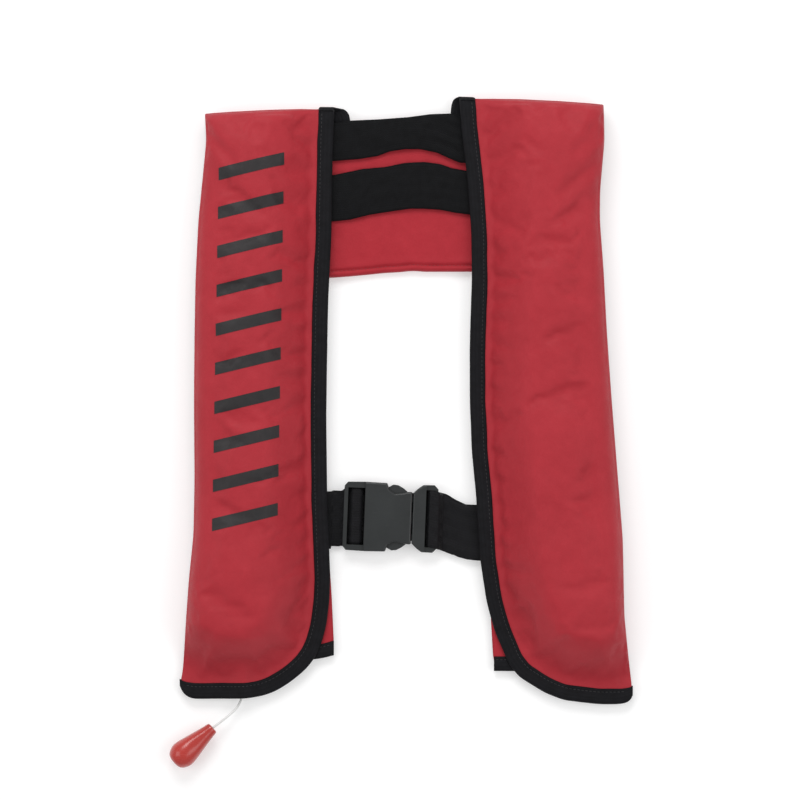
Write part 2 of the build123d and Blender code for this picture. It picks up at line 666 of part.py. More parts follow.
def stem_cap_nut():
    nut = extrude(Pos(*STEM, 36.2) * RegularPolygon(6.0, 6), amount=2.8)
    nut -= upright(STEM, 35.0, 39.0, STEM_R + 0.05)
    return nut


def firing_pin():
    pin = pin_bar(PIN_LOW_Y, PIN_TIP_Y, 1.6) + pin_bar(PIN_LOW_Y, PIN_LOW_Y + 1.4, 2.7)
    tip_plane = Plane(origin=(PIN_X, PIN_TIP_Y, INFLATOR_Z), z_dir=(0, 1, 0))
    return pin + tip_plane * (Pos(0, 0, 1.5) * Cone(1.6, 0.25, 3.0))


def co2_cylinder():
    bottle = turned(BOTTLE_PROFILE)
    bottle -= bar((0, 0, -1), (0, 0, 5.2), 2.3)
    neck = Plane(origin=(PIN_X, -342.0, INFLATOR_Z), x_dir=(1, 0, 0), z_dir=(0, 1, 0))
    return neck.location * bottle


save("inflator_body", inflator_body())
save("lever_pivot_pin", upright(PIVOT, 14.0, 36.4, PIVOT_R) + upright(PIVOT, 36.2, 37.2, 3.2))
save("inflator_stem", upright(STEM, 11.3, 12.4, 12.4) + upright(STEM, 12.0, 38.4, STEM_R))
save("stem_cap_nut", stem_cap_nut())
save("firing_lever", firing_lever())
save("firing_pin", firing_pin())
save("pin_return_spring", coil(2.3, 13.8, 2.3, (PIN_X, PIN_LOW_Y + 1.8, INFLATOR_Z)))
save("sealing_washer", pin_bar(-343.4, -342.2, 6.2) - pin_bar(-345.0, -340.0, 3.0))
save("co2_cylinder", co2_cylinder())

# ---------------------------------------------------------------- oral inflation tube and valve
TUBE_X, TUBE_Z = 172.0, 24.5
FLANGE_Y = -326.0
TUBE_END_Y = -205.0
PLUG_R = 4.5            # part of the valve body inside the tube
VALVE_R = 7.4


def tube_bar(y0, y1, radius):
    """Round bar on the tube's axis."""
    return bar((TUBE_X, y0, TUBE_Z), (TUBE_X, y1, TUBE_Z), radius)


def tube_flange():
    centre = (TUBE_X, FLANGE_Y)
    flange = upright(centre, panel_z(FLANGE_Y) + 5.2, 15.0, 16.0)
    flange += upright(centre, 14.5, 29.0, 8.6)
    flange += tube_bar(FLANGE_Y, -311.0, 7.4)
    flange -= tube_bar(FLANGE_Y, -310.0, 4.4)
    return flange


def oral_valve_body():
    valve = tube_bar(-214.0, TUBE_END_Y, PLUG_R) + tube_bar(-204.8, -176.0, VALVE_R)
    valve += tube_bar(-204.8, -201.6, 9.4)      # collar
    valve -= tube_bar(-220.0, -196.0, 2.6)      # air way
    # ring joining the plug to the body
    valve += tube_bar(-205.2, -204.6, PLUG_R) - tube_bar(-206.0, -204.0, 2.6)
    valve -= tube_bar(-197.0, -170.0, 5.4)      # plunger chamber
    return valve


def valve_plunger():
    plunger = tube_bar(-190.0, -187.6, 5.0) + tube_bar(-196.0, -173.5, 1.8)
    plunger += tube_bar(-176.0, -173.5, 3.6)
    return plunger


def oral_dust_cap():
    """Cap with twelve grip grooves."""
    cap = tube_bar(-192.0, -169.0, 9.3)
    cap = try_fillet(cap, cap.edges().filter_by(GeomType.CIRCLE), (1.2,))
    cap -= tube_bar(-193.0, -171.0, VALVE_R + 0.06)
    for i in range(12):
        angle = math.radians(30 * i)
        x, z = TUBE_X + 10.0 * math.cos(angle), TUBE_Z + 10.0 * math.sin(angle)
        cap -= bar((x, -193.0, z), (x, -172.5, z), 1.2)
    return cap


save("tube_flange", tube_flange())
save("oral_tube", tube_bar(-310.8, TUBE_END_Y, 6.6) - tube_bar(-312.0, -204.0, 4.6))
save("oral_valve_body", oral_valve_body())
save("valve_plunger", valve_plunger())
save("valve_spring", coil(1.35, 4.05, 3.4, (TUBE_X, -195.3, TUBE_Z)))
save("oral_dust_cap", oral_dust_cap())

# ---------------------------------------------------------------- whistle and lanyard
RING_X, RING_Y = 165.0, -352.0      # centre of the whistle's ring
WHISTLE_Z = 19.0                    # middle height


def whistle():
    """Two-chamber body pointing to the hem, with a ring at its upper end."""
    base = fillet((Pos(RING_X, RING_Y - 22.0) * Rectangle(17.0, 36.0)).vertices(), 4.0)
    body = lifted(base, WHISTLE_Z - 5.0, WHISTLE_Z + 5.0)
    body = soften_top(body, (1.5, 1.0))
    body -= Pos(RING_X, RING_Y - 30.0, 23.0) * Box(11.0, 3.4, 5.0)      # sound slot
    for sign in (-1, 1):
        body -= Pos(RING_X + sign * 3.8, RING_Y - 36.0, WHISTLE_Z) * Box(4.6, 16.0, 5.0)
    body += Pos(RING_X, RING_Y, WHISTLE_Z) * (Cylinder(4.4, 3.0) - Cylinder(2.2, 3.2))
    body += Pos(RING_X, RING_Y - 4.6, WHISTLE_Z) * Box(5.0, 2.6, 3.0)
    return body


def whistle_lanyard():
    """Cord from the whistle's ring up to the tube flange."""
    start = (RING_X, RING_Y, 17.4)
    path = Spline(
        start, (RING_X, RING_Y + 0.6, 22.4), (RING_X + 2.0, RING_Y + 8.0, 24.0),
        (TUBE_X, -335.6, 22.0), tangents=[(0, 0, 1), (0.3, 1, -0.2)])
    return sweep(Plane(origin=start, z_dir=(0, 0, 1)) * Circle(0.9), path=path)


save("whistle", whistle())
save("whistle_lanyard", whistle_lanyard())
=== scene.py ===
"""An inflatable life vest laid flat on a pale floor: its outer face is up (+Z), the shoulders are
at +Y, the hems at -Y and the "left" pieces at -X. Shapes are in millimetres and are scaled to
metres when a mesh is made. Lights, camera and floor are in metres."""
import math

import bpy
import numpy as np
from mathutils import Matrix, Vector, noise
from mathutils.bvhtree import BVHTree


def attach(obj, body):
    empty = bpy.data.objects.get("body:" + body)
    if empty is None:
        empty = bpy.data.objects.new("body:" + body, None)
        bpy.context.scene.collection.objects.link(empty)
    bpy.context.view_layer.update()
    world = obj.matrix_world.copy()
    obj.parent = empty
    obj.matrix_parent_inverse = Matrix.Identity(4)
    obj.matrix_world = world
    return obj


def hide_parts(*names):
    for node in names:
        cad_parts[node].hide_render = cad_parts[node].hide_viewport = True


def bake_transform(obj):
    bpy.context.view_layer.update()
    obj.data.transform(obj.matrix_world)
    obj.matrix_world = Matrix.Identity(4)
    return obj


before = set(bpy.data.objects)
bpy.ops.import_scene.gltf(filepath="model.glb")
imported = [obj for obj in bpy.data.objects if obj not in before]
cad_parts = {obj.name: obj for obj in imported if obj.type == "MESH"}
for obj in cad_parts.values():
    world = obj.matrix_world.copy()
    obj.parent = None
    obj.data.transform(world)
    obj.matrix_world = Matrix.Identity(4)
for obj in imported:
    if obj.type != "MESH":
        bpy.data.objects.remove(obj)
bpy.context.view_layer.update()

MM = 0.001
UV_UNIT = 100.0                     # millimetres in one UV unit
UP = np.array([0.0, 0.0, 1.0])
DOWN = Vector((0, 0, -1))


# ---------------------------------------------------------------- curves and numbers
def floats(values):
    return np.array(values, float)


def unit(v):
    return v / np.maximum(np.linalg.norm(v, axis=-1, keepdims=True), 1e-9)


def tangents(line):
    return unit(np.gradient(line, axis=0))


def arc_length(line):
    """Length run so far at each point of a polyline, or of every row of a grid."""
    steps = np.linalg.norm(np.diff(line, axis=-2), axis=-1)
    return np.insert(np.cumsum(steps, axis=-1), 0, 0.0, axis=-1)


def points_at(where, length, line):
    """Points of a polyline at the given arc lengths."""
    return np.stack([np.interp(where, length, line[:, k]) for k in range(line.shape[1])], -1)


def resample(line, count, smooth=0.0):
    """Evenly spaced points along a polyline, its corners softened over smooth millimetres."""
    line = floats(line)
    length = arc_length(line)
    if smooth > 0:
        fine = max(int(length[-1]), 40)
        dense = points_at(np.linspace(0, length[-1], fine), length, line)
        step = length[-1] / (fine - 1)
        reach = int(3 * smooth / step)
        kernel = np.exp(-0.5 * ((np.arange(-reach, reach + 1) * step) / smooth) ** 2)
        kernel /= kernel.sum()
        before = 2 * dense[0] - dense[1:reach + 1][::-1]
        after = 2 * dense[-1] - dense[-reach - 1:-1][::-1]
        padded = np.vstack([before, dense, after])
        line = np.stack([np.convolve(padded[:, k], kernel, "valid")
                         for k in range(line.shape[1])], 1)
        length = arc_length(line)
    return points_at(np.linspace(0, length[-1], count), length, line)


def smooth_line(line, count):
    """Catmull-Rom curve through the points."""
    p = floats(line)
    p = np.vstack([2 * p[0] - p[1], p, 2 * p[-1] - p[-2]])
    spans = len(p) - 3
    curve = []
    for t in np.linspace(0, spans, count):
        i = min(int(t), spans - 1)
        f = t - i
        a, b, c, d = p[i:i + 4]
        curve.append(0.5 * (2 * b + (c - a) * f + (2 * a - 5 * b + 4 * c - d) * f * f
                            + (-a + 3 * b - 3 * c + d) * f ** 3))
    return floats(curve)


def rounded_run(line, radius, step=1.0):
    """A polyline with rounded corners, with a point at least every step millimetres."""
    p = floats(line)
    bends = [p[0]]
    for a, b, c in zip(p, p[1:], p[2:]):
        to_a, to_c = np.linalg.norm(a - b), np.linalg.norm(c - b)
        cut = min(radius, to_a * 0.45, to_c * 0.45)
        start, end = b + (a - b) / to_a * cut, b + (c - b) / to_c * cut
        for t in np.linspace(0, 1, 6):
            bends.append((1 - t) ** 2 * start + 2 * t * (1 - t) * b + t * t * end)
    bends = floats(bends + [p[-1]])
    length = arc_length(bends)
    even = np.linspace(0, length[-1], max(int(length[-1] / step), 8))
    return points_at(np.unique(np.r_[length, even]), length, bends)


def look_up(table, value, key, result):
    table = floats(table)
    order = np.argsort(table[:, key])
    return np.interp(value, table[order, key], table[order, result])


def x_at(table, y):
    return look_up(table, y, 1, 0)


def y_at(table, x):
    return look_up(table, x, 0, 1)


def ease(t):
    t = np.clip(t, 0, 1)
    return t * t * (3 - 2 * t)


def quarter_round(t):
    """Height of a quarter circle, from 0 at t = 0 to 1 at t = 1."""
    return np.sqrt(np.clip(1 - (1 - np.clip(t, 0, 1)) ** 2, 0, 1))


def bell(t):
    return np.exp(-t ** 2)


def distance_to(line, points):
    """Distance of each point from a polyline, and the arc length of the nearest place."""
    start = line[:-1]
    span = line[1:] - start
    square = (span ** 2).sum(1)
    t = np.clip(((points[:, None] - start[None]) * span[None]).sum(2) / square[None], 0, 1)
    nearest = start[None] + t[..., None] * span[None]
    distance = np.linalg.norm(points[:, None] - nearest, axis=2)
    k = distance.argmin(1)
    i = np.arange(len(points))
    return distance[i, k], arc_length(line)[k] + t[i, k] * np.sqrt(square[k])


def uneven(x, y, scale, seed, octaves=2):
    """Fractal noise whose largest lumps are about scale millimetres across."""
    x, y = np.broadcast_arrays(x, y)
    return np.array([noise.fractal(Vector((a / scale + seed, b / scale - seed, 0.37 * seed)),
                                   0.9, 2.1, octaves) for a, b in zip(x, y)])


def panel_z(y):
    """Base height of the front panels, which slope gently up towards the shoulders."""
    return 5.0 + (y + 425.0) * 0.02


# ---------------------------------------------------------------- mesh building
def mesh_object(name, verts, faces, mats, uv, mat_index=None):
    me = bpy.data.meshes.new(name)
    me.from_pydata([tuple(map(float, v)) for v in np.asarray(verts) * MM], [],
                   [tuple(map(int, f)) for f in faces])
    me.validate()
    for mat in mats:
        me.materials.append(mat)
    layer = me.uv_layers.new(name="UVMap")
    corner = np.empty(len(me.loops), np.int32)
    me.loops.foreach_get("vertex_index", corner)
    uv = np.asarray(uv, float)[corner] / UV_UNIT
    layer.data.foreach_set("uv", uv.astype(np.float32).ravel())
    if mat_index is not None:
        me.polygons.foreach_set("material_index", np.asarray(mat_index, np.int32))
    me.polygons.foreach_set("use_smooth", np.full(len(me.polygons), True))
    me.update()
    o = bpy.data.objects.new(name, me)
    bpy.context.scene.collection.objects.link(o)
    return o


def grid_faces(rows, cols, flip=False, base=0):
    i, j = np.meshgrid(np.arange(rows - 1), np.arange(cols - 1), indexing="ij")
    a = base + i * cols + j
    faces = np.stack([a, a + 1, a + cols + 1, a + cols], -1).reshape(-1, 4)
    return faces[:, ::-1] if flip else faces


def grid_normals(grid, flip=False):
    normals = unit(np.cross(np.gradient(grid, axis=1), np.gradient(grid, axis=0)))
    return -normals if flip else normals


def halve_rows(grid):
    count = grid.shape[0]
    middle = (grid[:-1] + grid[1:]) / 2
    middle[1:-1] = (-grid[:-3] + 9 * grid[1:-2] + 9 * grid[2:-1] - grid[3:]) / 16
    fine = np.empty((2 * count - 1,) + grid.shape[1:])
    fine[0::2], fine[1::2] = grid, middle
    return fine


def refine(grid):
    """Twice as fine a grid, smoothly interpolated both ways."""
    return halve_rows(halve_rows(grid).transpose(1, 0, 2)).transpose(1, 0, 2)


def shell(name, grid, thick, mats, uv, flip=False):
    """Closed two-layer sheet from a grid of outer points.

    The outer faces and the rim take the first material, the inner faces the last."""
    rows, cols = grid.shape[:2]
    count = rows * cols
    inner = grid - grid_normals(grid, flip) * thick
    outer_faces = grid_faces(rows, cols, flip)
    inner_faces = grid_faces(rows, cols, not flip, count)
    edge = [i * cols for i in range(rows)]
    edge += [(rows - 1) * cols + j for j in range(1, cols)]
    edge += [i * cols + cols - 1 for i in range(rows - 2, -1, -1)]
    edge += list(range(cols - 2, 0, -1))
    rim = [(a, b, b + count, a + count) for a, b in zip(edge, edge[1:] + edge[:1])]
    if flip:
        rim = [quad[::-1] for quad in rim]
    mat_index = [0] * len(outer_faces) + [len(mats) - 1] * len(inner_faces) + [0] * len(rim)
    return mesh_object(name, np.vstack([grid.reshape(-1, 3), inner.reshape(-1, 3)]),
                       [*outer_faces, *inner_faces, *rim], mats,
                       np.vstack([uv.reshape(-1, 2)] * 2), mat_index)


def ring_uv(around, along):
    return np.stack(np.broadcast_arrays(around[None, :], along[:, None]), -1).reshape(-1, 2)


def loft(name, rings, mat, uv=None):
    """Capped tube through rings that all have the same number of points."""
    rings = floats(rings)
    rows, cols = rings.shape[:2]
    faces = []
    for i in range(rows - 1):
        for j in range(cols):
            k = (j + 1) % cols
            faces.append((i * cols + j, i * cols + k, (i + 1) * cols + k, (i + 1) * cols + j))
    faces.append(tuple(range(cols))[::-1])
    faces.append(tuple((rows - 1) * cols + j for j in range(cols)))
    if uv is None:
        uv = ring_uv(arc_length(rings[0]), arc_length(rings.mean(1)))
    return mesh_object(name, rings.reshape(-1, 3), faces, [mat], uv)


def circle(sides):
    """Cosines and sines round a circle, each as a column."""
    t = np.linspace(0, math.tau, sides, endpoint=False)[:, None]
    return np.cos(t), np.sin(t)


def tube_rings(line, up, sides, radius):
    """Rings round a line; radius is one number or one per ring and side."""
    tangent = tangents(line)
    across = unit(np.cross(tangent, up))
    normal = np.cross(across, tangent)
    cosine, sine = circle(sides)
    return line[:, None] + (across[:, None] * cosine + normal[:, None] * sine) * radius


def ribbon(name, edge_a, edge_b, thick, mat, wave=lambda s, u: 0.0 * s, bulge=0.0, count=13,
           centre=None):
    """Woven tape with rounded selvedges between two edge lines.

    wave(s, u) lifts it at arc length s and fraction u of its width; bulge lifts its middle."""
    a, b = floats(edge_a), floats(edge_b)
    centre = (a + b) / 2 if centre is None else centre
    s = arc_length(centre)[:, None]
    across = b - a
    normal = unit(np.cross(tangents(centre), across))[:, None]
    width = np.linalg.norm(across, axis=1)[:, None]
    u = np.linspace(0, 1, count)
    selvedge = 0.9                  # width over which an edge rounds off
    rise = bulge * 4 * u * (1 - u) + wave(s, u)
    middle = a[:, None] + across[:, None] * u[:, None] + normal * rise[..., None]
    half = thick * (0.12 + 0.38 * quarter_round(np.minimum(u, 1 - u) * width / selvedge))
    half = normal * half[..., None]
    rings = np.concatenate([middle + half, (middle - half)[:, ::-1]], 1)
    uv = np.stack(np.broadcast_arrays(u * width, s), -1)
    return loft(name, rings, mat, np.concatenate([uv, uv[:, ::-1]], 1).reshape(-1, 2))


def edges_along_x(x, y_low, y_high, z):
    """The two edge lines of a tape that runs along X."""
    z = np.broadcast_to(z, x.shape)
    return np.column_stack([x, y_low, z]), np.column_stack([x, y_high, z])


# Section of the folded binding tape: distance in from the cloth's edge, height over the cloth
BINDING_SECTION = [
    (12.2, -0.15), (12.0, 0.75), (10.4, 1.15), (9.2, 0.85), (7.5, 1.25), (4.5, 1.35),
    (2.0, 1.25), (0.3, 0.95), (-0.55, 0.3), (-0.85, -0.5), (-0.65, -1.6), (0.5, -2.5),
    (3.0, -2.85), (7.0, -2.9), (11.6, -2.6), (11.9, -1.6)]


def binding(name, path, inward, cloth_z, seed, width=1.0):
    """Folded tape round the edge of the cloth.

    path is the very edge in XY, inward its unit normals into the cloth."""
    s = arc_length(path)
    ragged = 0.35 * uneven(s, 0, 26.0, seed)
    smooth = 0.12 * uneven(s, 0, 17.0, seed + 3)
    lines = []
    for inset, lift in BINDING_SECTION:
        wobble = ragged if inset > 8 else smooth
        xy = path + inward * (inset * width + wobble)[:, None]
        below = path + inward * (np.maximum(inset * width, 0.3) + 0 * s)[:, None]
        lumps = 0.16 * uneven(s, inset, 9.0, seed + 7) * (1 if lift > 0 else 0.3)
        lines.append(np.column_stack([xy, cloth_z(below[:, 0], below[:, 1]) + lift + lumps]))
    rings = np.stack(lines, 1)
    return loft(name, rings, BINDING, ring_uv(arc_length(rings[len(rings) // 2]), s))


STITCH_PITCH, STITCH_LENGTH, STITCH_RADIUS, STITCH_SIDES = 3.6, 2.5, 0.32, 6
# Along one stitch: fraction of its length, thickness and height in thread radii
STITCH_SHAPE = [(0.0, 0.35, -0.25), (0.18, 0.9, 0.5), (0.5, 1.0, 0.75), (0.82, 0.9, 0.5),
                (1.0, 0.35, -0.25)]


def stitches(name, line, mat, lift=0.05):
    """A row of thread stitches along a line on an upward surface."""
    s = arc_length(line)
    sides = STITCH_SIDES
    verts, faces, uv = [], [], []
    for i in range(int(s[-1] / STITCH_PITCH)):
        middle = (i + 0.5) * STITCH_PITCH
        a = points_at(middle - STITCH_LENGTH / 2, s, line)
        b = points_at(middle + STITCH_LENGTH / 2, s, line)
        across = np.cross(UP, unit(b - a))
        base = len(verts)
        for f, size, rise in STITCH_SHAPE:
            centre = a + (b - a) * f + UP * (lift + rise * STITCH_RADIUS)
            for g in range(sides):
                t = math.tau * g / sides
                out = across * math.cos(t) + UP * math.sin(t)
                verts.append(centre + out * STITCH_RADIUS * size)
                uv.append((f * STITCH_LENGTH, g * 0.3))
        for ring in range(base, base + 4 * sides, sides):
            for g in range(sides):
                k = (g + 1) % sides
                faces.append((ring + g, ring + k, ring + sides + k, ring + sides + g))
        faces.append(tuple(base + g for g in range(sides))[::-1])
        faces.append(tuple(base + 4 * sides + g for g in range(sides)))
    return mesh_object(name, verts, faces, [mat], uv)


def join(objects, name):
    bpy.ops.object.select_all(action="DESELECT")
    for o in objects:
        o.select_set(True)
    bpy.context.view_layer.objects.active = objects[0]
    bpy.ops.object.join()
    objects[0].name = name
    objects[0].data.name = name
    return objects[0]


def outer_tree(o):
    """Ray tree of the faces that carry an object's first material, in metres."""
    return BVHTree.FromPolygons([tuple(v.co) for v in o.data.vertices],
                                [tuple(p.vertices) for p in o.data.polygons
                                 if p.material_index == 0])


def drop_onto(tree, x, y):
    """Place and normal where a ray straight down through x, y meets the tree."""
    return tree.ray_cast(Vector((x * MM, y * MM, 0.2)), DOWN)[:2]


# ---------------------------------------------------------------- what each object stands in for, and the body some ride on
def ride(o, body, *pieces):
    """Stands in for the named pieces, if any, and moves with body."""
    if pieces:
        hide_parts(*pieces)
    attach(o, body)


def ride_flap(o, side, *pieces):
    """Stands in for the named pieces, if any; its transform is baked into its mesh."""
    if pieces:
        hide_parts(*pieces)
    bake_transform(o)


def ride_shoulder(o, piece):
    """Stands in for the piece; its transform is baked into its mesh."""
    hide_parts(piece)
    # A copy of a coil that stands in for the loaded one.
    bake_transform(o)


# ---------------------------------------------------------------- materials
def scaled(color, factor, lift=0.0):
    return tuple(min(1, x * factor + lift) for x in color)


class Shader:
    """A Principled material and short ways to make the nodes that feed it."""

    def __init__(self, name, rough=0.6, metal=0.0, spec=0.5, sheen=0.0, sheen_rough=0.5,
                 coat=0.0, coat_rough=0.2):
        self.material = bpy.data.materials.new(name)
        self.material.use_nodes = True
        self.tree = self.material.node_tree
        self.inputs = self.tree.nodes["Principled BSDF"].inputs
        self.texture_coords = None
        for socket, value in (("Roughness", rough), ("Metallic", metal),
                              ("Specular IOR Level", spec), ("Sheen Weight", sheen),
                              ("Sheen Roughness", sheen_rough), ("Coat Weight", coat),
                              ("Coat Roughness", coat_rough)):
            self.inputs[socket].default_value = value

    def node(self, kind, **properties):
        node = self.tree.nodes.new(kind)
        for key, value in properties.items():
            setattr(node, key, value)
        return node

    def feed(self, socket, value):
        """Gives a socket a number, a colour or a link."""
        if isinstance(value, tuple):
            socket.default_value = (*value, 1)
        elif isinstance(value, (int, float)):
            socket.default_value = value
        else:
            self.tree.links.new(value, socket)

    def coords(self, kind="UV", scale=(1, 1, 1), rotation=(0, 0, 0)):
        if self.texture_coords is None:
            self.texture_coords = self.node("ShaderNodeTexCoord")
        mapping = self.node("ShaderNodeMapping")
        mapping.inputs["Scale"].default_value = scale
        mapping.inputs["Rotation"].default_value = rotation
        self.feed(mapping.inputs["Vector"], self.texture_coords.outputs[kind])
        return mapping.outputs["Vector"]

    def split(self, vector):
        node = self.node("ShaderNodeSeparateXYZ")
        self.feed(node.inputs[0], vector)
        return node.outputs[0], node.outputs[1]

    def noise(self, vector, scale, detail, rough=0.6):
        node = self.node("ShaderNodeTexNoise")
        for socket, value in (("Scale", scale), ("Detail", detail), ("Roughness", rough),
                              ("Vector", vector)):
            self.feed(node.inputs[socket], value)
        return node.outputs["Fac"]

    def math(self, operation, *values):
        node = self.node("ShaderNodeMath", operation=operation)
        for socket, value in zip(node.inputs, values):
            self.feed(socket, value)
        return node.outputs[0]

    def add(self, a, b):
        return self.math("ADD", a, b)

    def times(self, a, b):
        return self.math("MULTIPLY", a, b)

    def power(self, a, exponent):
        return self.math("POWER", a, exponent)

    def weighted(self, a, share_a, b, share_b):
        return self.add(self.times(a, share_a), self.times(b, share_b))

    def remap(self, value, source, target):
        node = self.node("ShaderNodeMapRange")
        self.feed(node.inputs["Value"], value)
        for socket, number in zip(("From Min", "From Max", "To Min", "To Max"), source + target):
            node.inputs[socket].default_value = number
        return node.outputs["Result"]

    def mix(self, factor, a, b):
        node = self.node("ShaderNodeMix", data_type="RGBA")
        for index, value in ((0, factor), (6, a), (7, b)):      # sockets 6 and 7 are the colours
            self.feed(node.inputs[index], value)
        return node.outputs[2]

    def bump(self, height, strength, distance, normal=None):
        node = self.node("ShaderNodeBump")
        node.inputs["Strength"].default_value = strength
        node.inputs["Distance"].default_value = distance
        self.feed(node.inputs["Height"], height)
        if normal is not None:
            self.feed(node.inputs["Normal"], normal)
        return node.outputs["Normal"]

    def sine(self, coordinate, pitch):
        """Sine along a UV coordinate, with a half wave every pitch millimetres."""
        return self.math("SINE", self.times(coordinate, math.pi * UV_UNIT / pitch))

    def weave(self, vector, pitch):
        """Plain weave height, 0 to 1."""
        u, v = self.split(vector)
        sine_u, sine_v = self.sine(u, pitch), self.sine(v, pitch)
        ridge_u, ridge_v = self.math("ABSOLUTE", sine_u), self.math("ABSOLUTE", sine_v)
        over = self.math("GREATER_THAN", self.times(sine_u, sine_v), 0.0)
        raised = self.times(over, self.power(ridge_u, 0.6))
        under = self.math("SUBTRACT", 1.0, over)
        return self.add(raised, self.times(under, self.power(ridge_v, 0.6)))

    def finish(self, color, rough=None, normal=None):
        for socket, value in (("Base Color", color), ("Roughness", rough), ("Normal", normal)):
            if value is not None:
                self.feed(self.inputs[socket], value)
        return self.material


def cloth(name, base, dark, light, pitch=0.8, bump=0.35, rough=(0.5, 0.66), sheen=0.15,
          spec=0.35):
    """Plain woven cloth: dark and light mottle it; base, darkened, is painted shade in the gaps
    between threads, and lightened, the loose fuzz.
    """
    m = Shader(name, sheen=sheen, spec=spec)
    uv = m.coords()
    weave = m.weave(uv, pitch)
    broad = m.noise(uv, scale=1.3, detail=3)
    mottle = m.noise(uv, scale=9.0, detail=4)
    fuzz = m.noise(uv, scale=90.0, detail=2)
    tone = m.weighted(broad, 0.55, mottle, 0.45)
    color = m.mix(m.remap(tone, (0.35, 0.65), (0, 1)), dark, light)
    # painted shade: the gaps between the threads are darkened towards a dark copy of base
    color = m.mix(m.remap(weave, (0.0, 1.0), (0.30, 0.0)), color, scaled(base, 0.45))
    color = m.mix(m.remap(fuzz, (0.35, 0.7), (0.0, 0.14)), color, scaled(base, 1.35, 0.01))
    normal = m.bump(mottle, strength=0.5, distance=0.0012)
    threads = m.weighted(weave, 1.0, fuzz, 0.5)
    normal = m.bump(threads, strength=bump, distance=0.00022, normal=normal)
    gloss = m.weighted(weave, 0.5, mottle, 0.5)
    return m.finish(color, m.remap(gloss, (0.2, 0.9), rough[::-1]), normal)


def ribbed(name, base, pitch_along, pitch_across, strength, sheen, spec, chevron=0.0):
    """Ribbed woven tape: u runs across the tape, v along it; chevron is the zigzag's width."""
    m = Shader(name, sheen=sheen, spec=spec, sheen_rough=0.35)
    uv = m.coords()
    u, v = m.split(uv)
    if chevron:
        zigzag = m.math("PINGPONG", u, chevron / UV_UNIT)
        v = m.add(v, m.times(zigzag, 0.9))
    along = m.math("ABSOLUTE", m.sine(v, pitch_along))
    across = m.math("ABSOLUTE", m.sine(u, pitch_across))
    ribs = m.add(m.times(m.power(along, 0.7), 0.65), m.times(m.power(across, 0.7), 0.35))
    mottle = m.noise(uv, scale=12.0, detail=4)
    fuzz = m.noise(uv, scale=160.0, detail=2, rough=0.7)
    color = m.mix(m.remap(mottle, (0.3, 0.7), (0, 1)), scaled(base, 0.72), scaled(base, 1.35))
    # painted shade: the grooves between the ribs are darkened towards a dark copy of base
    color = m.mix(m.remap(ribs, (0.15, 0.95), (0.55, 0.0)), color, scaled(base, 0.25))
    color = m.mix(m.remap(fuzz, (0.55, 0.8), (0.0, 0.35)), color, scaled(base, 2.4, 0.004))
    normal = m.bump(mottle, strength=0.3, distance=0.0008)
    threads = m.add(ribs, m.times(fuzz, 0.3))
    normal = m.bump(threads, strength=strength, distance=0.0004, normal=normal)
    gloss = m.add(ribs, m.times(mottle, 0.4))
    return m.finish(color, m.remap(gloss, (0.2, 1.2), (0.8, 0.6)), normal)


def hard(name, base, rough=0.4, metal=0.0, spec=0.5, grain=600.0, grain_height=0.00003,
         vary=0.12, coat=0.0, wear=None, streak=(1, 1, 1)):
    """Moulded plastic or metal with fine grain, uneven gloss and scratches.

    wear is the colour of the scratches, streak stretches the grain."""
    m = Shader(name, metal=metal, spec=spec, coat=coat, coat_rough=0.12)
    place = m.coords("Object", scale=streak)
    broad = m.noise(place, scale=25.0, detail=4)
    fine = m.noise(place, scale=grain, detail=3)
    scratched = m.coords("Object", scale=(1, 14, 3), rotation=(0.2, 0.1, 0.5))
    scratches = m.noise(scratched, scale=160.0, detail=3, rough=0.7)
    color = m.mix(m.remap(broad, (0.3, 0.7), (0, 1)), scaled(base, 1 - vary),
                  scaled(base, 1 + vary))
    if wear is not None:
        color = m.mix(m.remap(scratches, (0.62, 0.72), (0.0, 0.25)), color, wear)
    roughness = m.add(m.remap(broad, (0.3, 0.7), (rough * 0.85, rough * 1.2)),
                      m.remap(scratches, (0.55, 0.75), (0.0, 0.14)))
    relief = m.weighted(fine, 1.0, scratches, 0.6)
    return m.finish(color, roughness, m.bump(relief, strength=0.5, distance=grain_height))


RED = (0.385, 0.017, 0.028)
RED_NYLON = cloth("red_nylon", base=RED, dark=(0.355, 0.014, 0.024),
                  light=(0.415, 0.019, 0.031), sheen=0.05, spec=0.28)
RED_PANEL = cloth("red_nylon_panel", base=RED, dark=(0.35, 0.013, 0.023),
                  light=(0.41, 0.018, 0.03), sheen=0.05, spec=0.22)
LINING = cloth("black_lining", base=(0.02, 0.02, 0.023), dark=(0.014, 0.014, 0.016),
               light=(0.028, 0.028, 0.032), pitch=0.7, rough=(0.38, 0.55), spec=0.45)
BINDING = ribbed("binding_tape", base=(0.0055, 0.0055, 0.0072), pitch_along=0.95,
                 pitch_across=3.2, strength=0.6, sheen=0.03, spec=0.15)
WEBBING = ribbed("black_webbing", base=(0.0042, 0.0042, 0.0056), pitch_along=1.3,
                 pitch_across=2.3, strength=0.8, sheen=0.05, spec=0.2, chevron=6.25)
NECK_WEBBING = ribbed("black_neck_webbing", base=(0.0042, 0.0044, 0.0052), pitch_along=1.5,
                      pitch_across=2.0, strength=0.9, sheen=0.02, spec=0.12, chevron=5.0)
THREAD = hard("black_thread", base=(0.016, 0.016, 0.018), rough=0.5, grain=900)
RED_THREAD = hard("red_thread", base=(0.3, 0.02, 0.03), rough=0.55, grain=900)
PRINT = cloth("black_print", base=(0.014, 0.012, 0.013), dark=(0.010, 0.009, 0.010),
              light=(0.020, 0.015, 0.016), rough=(0.45, 0.6), sheen=0.05)
